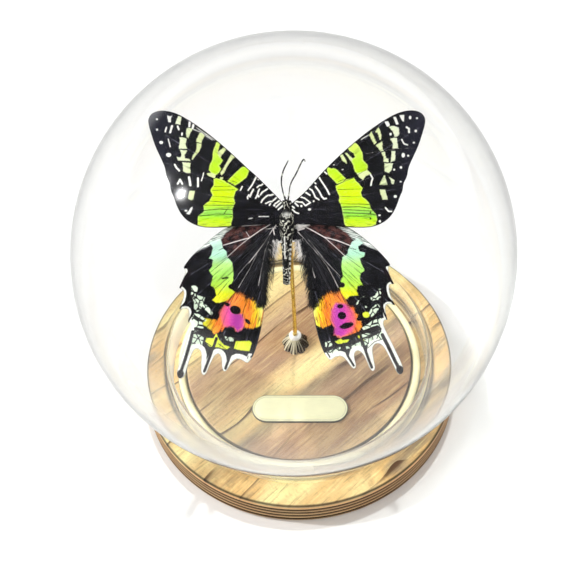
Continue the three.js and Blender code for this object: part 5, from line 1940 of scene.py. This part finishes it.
@dataclass
class Wing:
    """One wing: a thin sheet cut to its outline from a fine square net, with its marks on the points."""

    kind: WingKind
    side: Side
    outline: Line
    marks: dict[str, list[Mark]]
    swing: float = 0.0
    step: float = 0.14
    thick: float = 0.16
    plate: float = 0.35
    dihedral: float = 4.0
    joint: float = 2.9
    snap: float = 0.52
    sliver: float = 0.02
    rim_half: float = 0.03
    rim_width: float = 0.6

    def net(self) -> tuple[np.ndarray, np.ndarray, np.ndarray]:
        """Cuts a square net to the outline.

        Points within about half a step of the outline are moved onto it along the slope of their
        depth. Cells with four points in hold two triangles, and those with three hold one. Slivers
        are dropped.

        Returns:
            The net's points, its triangles and each point's depth from the outline.
        """
        outline = rounded(self.outline, 2)
        h = self.step
        low, high = outline.min(0) - 3 * h, outline.max(0) + 3 * h
        x, y = np.meshgrid(np.arange(low[0], high[0], h), np.arange(low[1], high[1], h), indexing="ij")
        depth = depth_in(np.column_stack([x.ravel(), y.ravel()]), outline).reshape(x.shape)
        slope = np.stack(np.gradient(depth, h), -1)
        slope /= np.linalg.norm(slope, axis=-1, keepdims=True) + 1e-9
        near = np.abs(depth) < self.snap * h
        places = np.stack([x, y], -1) - np.where(near, depth, 0)[..., None] * slope
        held = (depth > 0) | near
        index = np.arange(x.size).reshape(x.shape)
        corners = [index[:-1, :-1], index[1:, :-1], index[1:, 1:], index[:-1, 1:]]
        cells = np.stack([corner.ravel() for corner in corners], -1)
        inner = held.ravel()[cells]
        full = cells[inner.all(1)]
        tris = [full[:, [0, 1, 2]], full[:, [0, 2, 3]]]
        for missing in range(4):
            keep = [i for i in range(4) if i != missing]
            tris.append(cells[(inner.sum(1) == 3) & ~inner[:, missing]][:, keep])
        faces = np.concatenate(tris)
        flat = places.reshape(-1, 2)
        a, b, c = (flat[faces[:, i]] for i in range(3))
        area = (b - a)[:, 0] * (c - a)[:, 1] - (b - a)[:, 1] * (c - a)[:, 0]
        faces = faces[area > self.sliver * h * h]
        used, renumbered = np.unique(faces, return_inverse=True)
        shown = np.where(near, 0, depth).ravel()
        return flat[used], renumbered.reshape(-1, 3), shown[used]

    def relief(self, places: np.ndarray) -> np.ndarray:
        """Height over the flat sheet: a low arch along the wing plus pleats that fan out from the root.

        Args:
            places: Points (x, y) on the flat wing.

        Returns:
            One height for each place.
        """
        away = places - np.array(self.kind.root)
        reach = np.hypot(away[:, 0], away[:, 1])
        angle = np.arctan2(away[:, 1], away[:, 0])
        grown = np.clip((reach - 6) / 16, 0, 1)
        pleat = self.kind.pleats * np.cos(angle * 34) * grown
        arch = 0.45 * np.sin(np.clip(reach / 38, 0, 1) * math.pi) * np.cos(angle * 1.3)
        if self.kind is FOREWING:
            overlap = np.clip((places[:, 1] + 1.5) / 4, 0.0, 1)
            return (pleat + arch) * overlap
        overlap = np.clip((1.0 - places[:, 1]) / 6, 0.0, 1)
        tails = np.clip((-places[:, 1] - 30) / 12, 0, 1)
        return (pleat - 0.6 * np.abs(arch)) * overlap + 0.9 * tails**2

    def lifted(self, places: np.ndarray, height: np.ndarray) -> np.ndarray:
        """Sets the flat wing on the body: swing about its joint, then tilt of the dihedral.

        Args:
            places: Points (x, y) on the flat wing.
            height: Their height over it.

        Returns:
            Points in the shared frame.
        """
        sign = self.side.value
        swing = math.radians(self.swing)
        out = sign * (places[:, 0] - self.joint)
        x = out * math.cos(swing) - places[:, 1] * math.sin(swing)
        y = out * math.sin(swing) + places[:, 1] * math.cos(swing)
        z = height + self.kind.lift
        tilt = math.radians(-sign * self.dihedral)
        world_x = x * math.cos(tilt) + z * math.sin(tilt) + sign * self.joint
        world_z = -x * math.sin(tilt) + z * math.cos(tilt)
        return POSE.world(np.column_stack([world_x, y, world_z]))

    def values(self, places: np.ndarray, depth: np.ndarray) -> dict[str, np.ndarray]:
        """Each field's depth, the place on the wing and the fan of angle and reach from the root.

        Args:
            places: Points (x, y) on the flat wing.
            depth: Their depth from the outline.

        Returns:
            Values by the names that the finish reads.
        """
        away = places - np.array(self.kind.root)
        flat = np.zeros(len(places))
        angle = np.arctan2(away[:, 1], away[:, 0])
        found = {
            "wing_place": np.column_stack([places, flat]),
            "fan": np.column_stack([angle, np.hypot(away[:, 0], away[:, 1]), flat]),
            "rim": depth,
        }
        for name in self.kind.fields:
            found[name] = field_of(places, self.marks.get(name, []))
        if self.kind is HINDWING:
            found["fringe"] = self.fringe(places, depth)
        return found

    def fringe(self, places: np.ndarray, depth: np.ndarray) -> np.ndarray:
        """Depth in the white fringe, which widens from the teeth down to the scallops between the tails.

        Args:
            places: Points (x, y) on the flat wing.
            depth: Their depth from the outline.

        Returns:
            One depth for each place, FAR where there is no fringe.
        """
        x, y = places.T
        outer = (y < -12.4) & (x > 5.6 + (-y - 12) * 0.16)
        width = 0.62 + 0.75 * np.clip((-y - 24) / 9, 0, 1)
        inner_edge = (x < 11.2) & (y > -35.2)
        return np.where(outer & ~inner_edge, width - depth, FAR)

    def build(self, finish: Finish) -> None:
        """Makes the sheet: the net above and below, closed by a wall along its edge.

        Args:
            finish: The wing's material.
        """
        places, faces, depth = self.net()
        relief = self.relief(places) + self.plate / 2
        half = self.rim_half + (self.thick / 2 - self.rim_half) * np.clip(depth / self.rim_width, 0, 1)
        top = self.lifted(places, relief + half)
        bottom = self.lifted(places, relief - half)
        count = len(places)
        ways = np.concatenate([faces[:, [0, 1]], faces[:, [1, 2]], faces[:, [2, 0]]])
        keys = ways[:, 0] * count + ways[:, 1]
        back = ways[:, 1] * count + ways[:, 0]
        edge = ways[~np.isin(keys, back)]
        wall = np.stack([edge[:, 0], edge[:, 0] + count, edge[:, 1] + count, edge[:, 1]], -1)
        found = self.values(places, depth)
        doubled = {key: np.concatenate([value, value]) for key, value in found.items()}
        tris = np.concatenate([faces, faces[:, ::-1] + count])
        shell = Shell(np.concatenate([top, bottom]), wall, tris, doubled).outward()
        name = f"{self.kind.name}_{self.side.word}"
        shell.piece(name + "_scaled", Slot.WING, finish, name)


class Law(Enum):
    """How a random value is drawn, by its name in numpy."""

    EVEN = "uniform"
    SKEWED = "beta"


@dataclass(frozen=True)
class HairRow:
    """A row of hairs down the hindwing's inner edge.

    Place, offset from the edge and length are drawn evenly between two numbers, way and lift by a
    mean and a spread. Edge and shrink are tables over the distance below the root.
    """

    count: int
    place: tuple[float, float]
    offset: tuple[float, float]
    way: tuple[float, float]
    length: tuple[float, float]
    lift: tuple[float, float]
    radius: float
    tone: tuple[float, float]
    law: Law = Law.EVEN
    edge: tuple = ((3, 6, 10), (2.9, 4.3, 5.1))
    shrink: tuple = ((0, 1), (1, 1))


MARGIN_HAIR = HairRow(
    420, (-21.5, -5.0), (-0.1, 1.0), (-108, 12), (1.2, 4.4), (0.15, 0.28), 0.115, (1.0, 12), Law.SKEWED,
    ((3, 6, 10, 15, 20, 25), (3.1, 4.3, 5.1, 5.7, 5.9, 6.1)), ((5, 9, 24), (0.5, 1, 0.7)),
)
STRAY_HAIR = HairRow(8, (-10.5, -5.0), (-0.1, 0.5), (-112, 10), (1.5, 4.2), (0.1, 0.3), 0.05, (0, 0.8))
VEIL_HAIR = HairRow(130, (-8.6, -4.6), (-1.3, 0.1), (-126, 14), (1.2, 3.0), (-0.2, 0.2), 0.085, (0.5, 1))


@dataclass
class WingHair:
    """Long hairs on one hindwing: along its inner edge, over its base and in a pale tuft at its root."""

    wing: Wing
    seed: int
    cover_count: int = 380
    cover_root: tuple[float, float] = (2.0, -0.4)
    cover_end: tuple[float, float] = (13.2, -19.0)
    tuft_root: tuple[float, float] = (2.7, -1.4)

    def lay(
        self, places: np.ndarray, reach: np.ndarray, lift: np.ndarray, radius: float, tone: np.ndarray
    ) -> Shell:
        """Lays hairs on the wing's sheet, from places towards places + reach, arched by lift.

        Args:
            places: Roots (x, y) on the flat wing.
            reach: From root to tip.
            lift: The tips' height.
            radius: At the root.
            tone: One for each hair.

        Returns:
            The hairs.
        """
        base = self.wing.plate / 2 + self.wing.thick / 2
        start = self.wing.lifted(places, self.wing.relief(places) + base)
        tips = places + reach
        end = self.wing.lifted(tips, self.wing.relief(tips) + base + lift)
        sag = np.column_stack([0 * lift, 0 * lift, np.abs(lift) * 0.5])
        return hairs(start, end - start, sag, radius, tone)

    def row(self, rng: np.random.Generator, plan: HairRow) -> Shell:
        """Draws one row of hairs by its plan: places down the edge, and ways as (cos, sin) of an angle.

        Args:
            rng: The source of the draws.
            plan: The row.

        Returns:
            The hairs.
        """
        y = rng.uniform(*plan.place, plan.count)
        start = np.column_stack([np.interp(-y, *plan.edge) + rng.uniform(*plan.offset, plan.count), y])
        angle = np.radians(rng.normal(*plan.way, plan.count))
        length = rng.uniform(*plan.length, plan.count) * np.interp(-y, *plan.shrink)
        reach = length[:, None] * np.column_stack([np.cos(angle), np.sin(angle)])
        lift = rng.normal(*plan.lift, plan.count)
        tone = getattr(rng, plan.law.value)(*plan.tone, plan.count)
        return self.lay(start, reach, lift, plan.radius, tone)

    def cover(self, rng: np.random.Generator) -> Shell:
        """Hairs that fan out from the root over the wing's base, as far as the cover's end.

        Args:
            rng: The source of the draws.

        Returns:
            The hairs.
        """
        count = self.cover_count
        angle = np.radians(rng.uniform(-84, -38, count))
        near = rng.uniform(3.0, 17.0, count)
        way = np.column_stack([np.cos(angle), np.sin(angle)])
        start = np.array(self.cover_root) + near[:, None] * way
        reach = way * rng.uniform(2.5, 6.5, count)[:, None]
        tips = start + reach
        kept = (tips[:, 0] < self.cover_end[0]) & (tips[:, 1] > self.cover_end[1])
        lift = rng.uniform(0.02, 0.16, count)[kept]
        return self.lay(start[kept], reach[kept], lift, 0.045, rng.beta(1.3, 4.5, count)[kept])

    def tuft(self, rng: np.random.Generator) -> Shell:
        """Pale hairs at the root: a full tuft on the right wing and a few hairs on the left.

        Args:
            rng: The source of the draws.

        Returns:
            The hairs.
        """
        right = self.wing.side is Side.RIGHT
        count = 110 if right else 4
        angle = np.radians(rng.normal(20, 9, count) if right else rng.normal(-30, 25, count))
        start = np.array(self.tuft_root) + rng.normal(scale=(0.3, 0.20), size=(count, 2))
        reach = rng.uniform(0.8, 3.8, count)[:, None] * np.column_stack([np.cos(angle), np.sin(angle)])
        return self.lay(start, reach, rng.uniform(0.3, 0.8, count), 0.055, rng.uniform(0.5, 1, count))

    def build(self, dark: Finish, pale: Finish) -> None:
        """Makes the dark hairs of edge and base, and the pale ones at the root.

        Args:
            dark: The dark hair's finish.
            pale: The pale hair's finish.
        """
        rng = np.random.default_rng(self.seed)
        word = self.wing.side.word
        margin = self.row(rng, MARGIN_HAIR)
        margin.joined(self.cover(rng)).piece(f"hindwing_hair_{word}", Slot.BODY, dark)
        tuft = self.tuft(rng)
        strays = self.row(rng, STRAY_HAIR)
        tuft.joined(strays, self.row(rng, VEIL_HAIR)).piece(f"pale_hair_{word}", Slot.BODY, pale)


# ---------------------------------------------------------------------------------------------
# Stage
# ---------------------------------------------------------------------------------------------


@dataclass(frozen=True)
class Viewpoint:
    """The camera: where it stands, what it looks at and how far it leans to one side."""

    lens: float = 85.0
    sensor: float = 36.0
    stand: tuple[float, float, float] = (0.0, -217.045, 356.23)
    target: tuple[float, float, float] = (-3.348, -5.964, 61.866)
    roll: float = -3.53

    def build(self) -> None:
        """Makes the camera and hands it to the scene."""
        data = bpy.data.cameras.new("camera")
        data.lens = self.lens
        data.sensor_width = self.sensor
        data.clip_start = 0.01
        camera = bpy.data.objects.new("camera", data)
        way = Vector(self.target) - Vector(self.stand)
        level = way.to_track_quat("-Z", "Y").to_matrix().to_4x4()
        lean = Matrix.Rotation(math.radians(self.roll), 4, "Z")
        camera.matrix_world = Matrix.Translation(Vector(self.stand) * MM) @ level @ lean
        bpy.context.scene.collection.objects.link(camera)
        bpy.context.scene.camera = camera


@dataclass(frozen=True)
class Lamp:
    """A round area lamp: where it hangs seen from the globe, how far off, how wide and how strong."""

    name: str
    way: tuple[float, float, float]
    reach: float
    size: float
    power: float
    mirrored: bool

    def hang(self, middle: float) -> None:
        """Makes the lamp and turns it to the globe's middle. Only a mirrored lamp shows in the glass.

        Args:
            middle: Height of the globe's middle.
        """
        data = bpy.data.lights.new(self.name, "AREA")
        data.energy = self.power
        data.shape = "DISK"
        data.size = self.size
        lamp = bpy.data.objects.new(self.name, data)
        goal = Vector((0, 0, middle))
        at = goal + Vector(self.way).normalized() * self.reach
        lamp.matrix_world = Matrix.Translation(at) @ (goal - at).to_track_quat("-Z", "Y").to_matrix().to_4x4()
        lamp.visible_glossy = self.mirrored
        lamp.visible_transmission = self.mirrored
        bpy.context.scene.collection.objects.link(lamp)


@dataclass(frozen=True)
class Studio:
    """A pale floor in a white room, a key lamp at the left, one overhead and a broad fill."""

    lamps: tuple[Lamp, ...] = (
        Lamp("key", (-0.764, 0.103, 0.637), 1.3, 0.07, 9.5, True),
        Lamp("overhead", (0.03, 0.30, 1.0), 1.4, 0.07, 9.5, False),
        Lamp("fill", (0.12, -0.5, 0.86), 1.6, 1.5, 4.5, False),
    )
    floor_half: float = 0.8
    horizon: float = 0.90
    ceiling: float = 0.30
    wall_start: float = 0.12
    wall_end: float = 0.90
    mirror_ceiling: float = 0.04
    mirror_end: float = 0.20
    middle: float = 0.066

    def floor(self) -> None:
        """A flat pale floor with the faintest cloud in it."""
        r = Recipe("pale_floor")
        cloud = r.noise(r.node("ShaderNodeTexCoord").outputs["Object"], 3.0, 2)
        colour = r.mix(cloud, (0.90, 0.90, 0.89, 1), (0.93, 0.93, 0.92, 1))
        h = self.floor_half
        mesh = bpy.data.meshes.new("floor")
        mesh.from_pydata([(-h, -h, 0), (h, -h, 0), (h, h, 0), (-h, h, 0)], [], [(0, 1, 2, 3)])
        mesh.materials.append(r.finished(Base_Color=colour, Roughness=0.8, Specular_IOR_Level=0.1))
        floor = bpy.data.objects.new("floor", mesh)
        bpy.context.scene.collection.objects.link(floor)

    def build(self) -> None:
        """Sets floor, room light and lamps."""
        self.floor()
        scene = bpy.context.scene
        world = scene.world or bpy.data.worlds.new("room")
        scene.world = world
        world.use_nodes = True
        self.room(world.node_tree)
        for lamp in self.lamps:
            lamp.hang(self.middle)
        scene.view_settings.view_transform = "Standard"

    def room(self, tree: bpy.types.NodeTree) -> None:
        """White walls under a pale ceiling. In the glass, the light of the walls ends lower down.

        Args:
            tree: The nodes of the scene's world.
        """
        where = tree.nodes.new("ShaderNodeTexCoord")
        parts = tree.nodes.new("ShaderNodeSeparateXYZ")
        tree.links.new(where.outputs["Generated"], parts.inputs[0])
        pick = tree.nodes.new("ShaderNodeMix")
        spans = ((self.wall_start, self.wall_end, self.ceiling), (0.0, self.mirror_end, self.mirror_ceiling))
        for place, (low, high, end) in enumerate(spans):
            rise = tree.nodes.new("ShaderNodeMapRange")
            rise.interpolation_type = "SMOOTHSTEP"
            ends = {"From Min": low, "From Max": high, "To Min": self.horizon, "To Max": end}
            for key, value in ends.items():
                rise.inputs[key].default_value = value
            tree.links.new(parts.outputs["Z"], rise.inputs["Value"])
            tree.links.new(rise.outputs["Result"], pick.inputs[2 + place])
        tree.links.new(tree.nodes.new("ShaderNodeLightPath").outputs["Glossy Depth"], pick.inputs[0])
        background = tree.nodes["Background"]
        background.inputs["Color"].default_value = (1.0, 1.0, 1.0, 1)
        tree.links.new(pick.outputs[0], background.inputs["Strength"])


# ---------------------------------------------------------------------------------------------


def build_object() -> None:
    """Builds and dresses every piece, from the base up to the moth."""
    WoodBase().build(OiledWood().material())
    BlownGlobe().build(ClearGlass("clear_globe", (0.84, 0.88, 0.87, 1), 100.0).material())
    plate = Brass(
        "satin_plate", rgb(255, 252, 206), rgb(52, 40, 20), 0.36, 0.06, (0.25, 7.0, 7.0), 0.04, 0.05, True,
    )
    Plaque().build(plate.material())
    rod = RodSet()
    drawn = Brass("drawn_brass", rgb(252, 220, 122), rgb(120, 84, 24), 0.10, 0.85, (5.0, 5.0, 0.2))
    rod.rod(drawn.material())
    aged = Brass(
        "aged_brass", rgb(255, 246, 214), rgb(40, 20, 8), 0.16, 0.25, (2.0, 2.0, 2.0), 0.15, 0.1, True,
    )
    rod.cap(aged.material())
    rod.collar(ClearGlass("clear_bead", (0.95, 0.95, 0.92, 1), 40.0, 1.45, 0.12, 0.45).material())

    chitin = Chitin().material()
    dark_hair = Hair("dark_hair", rgb(5, 5, 7), rgb(92, 92, 100), 0.04).material()
    pale_hair = Hair("pale_hair", rgb(240, 230, 220), rgb(255, 252, 250), 0.1).material()
    body = MothBody()
    body.trunk(chitin)
    body.abdomen(chitin)
    body.coat(dark_hair)
    body.limbs(chitin)

    fore_finish = ForewingFinish("forewing_scales").material()
    hind_finish = HindwingFinish("hindwing_scales").material()
    for side in Side:
        outline = FOREWING_ROOTS[side] + FOREWING_REST
        Wing(FOREWING, side, outline, FOREWING_MARKS[side]).build(fore_finish)
        swing = 1.5 if side is Side.RIGHT else 0.0
        hindwing = Wing(HINDWING, side, HINDWING_OUTLINES[side], HINDWING_MARKS[side], swing)
        hindwing.build(hind_finish)
        WingHair(hindwing, 20 + side.value).build(dark_hair, pale_hair)


def main() -> None:
    """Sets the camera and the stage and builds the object."""
    logging.basicConfig(level=logging.INFO, format="%(name)s: %(message)s")
    Viewpoint().build()
    Studio().build()
    build_object()


if __name__ == "__main__":
    main()
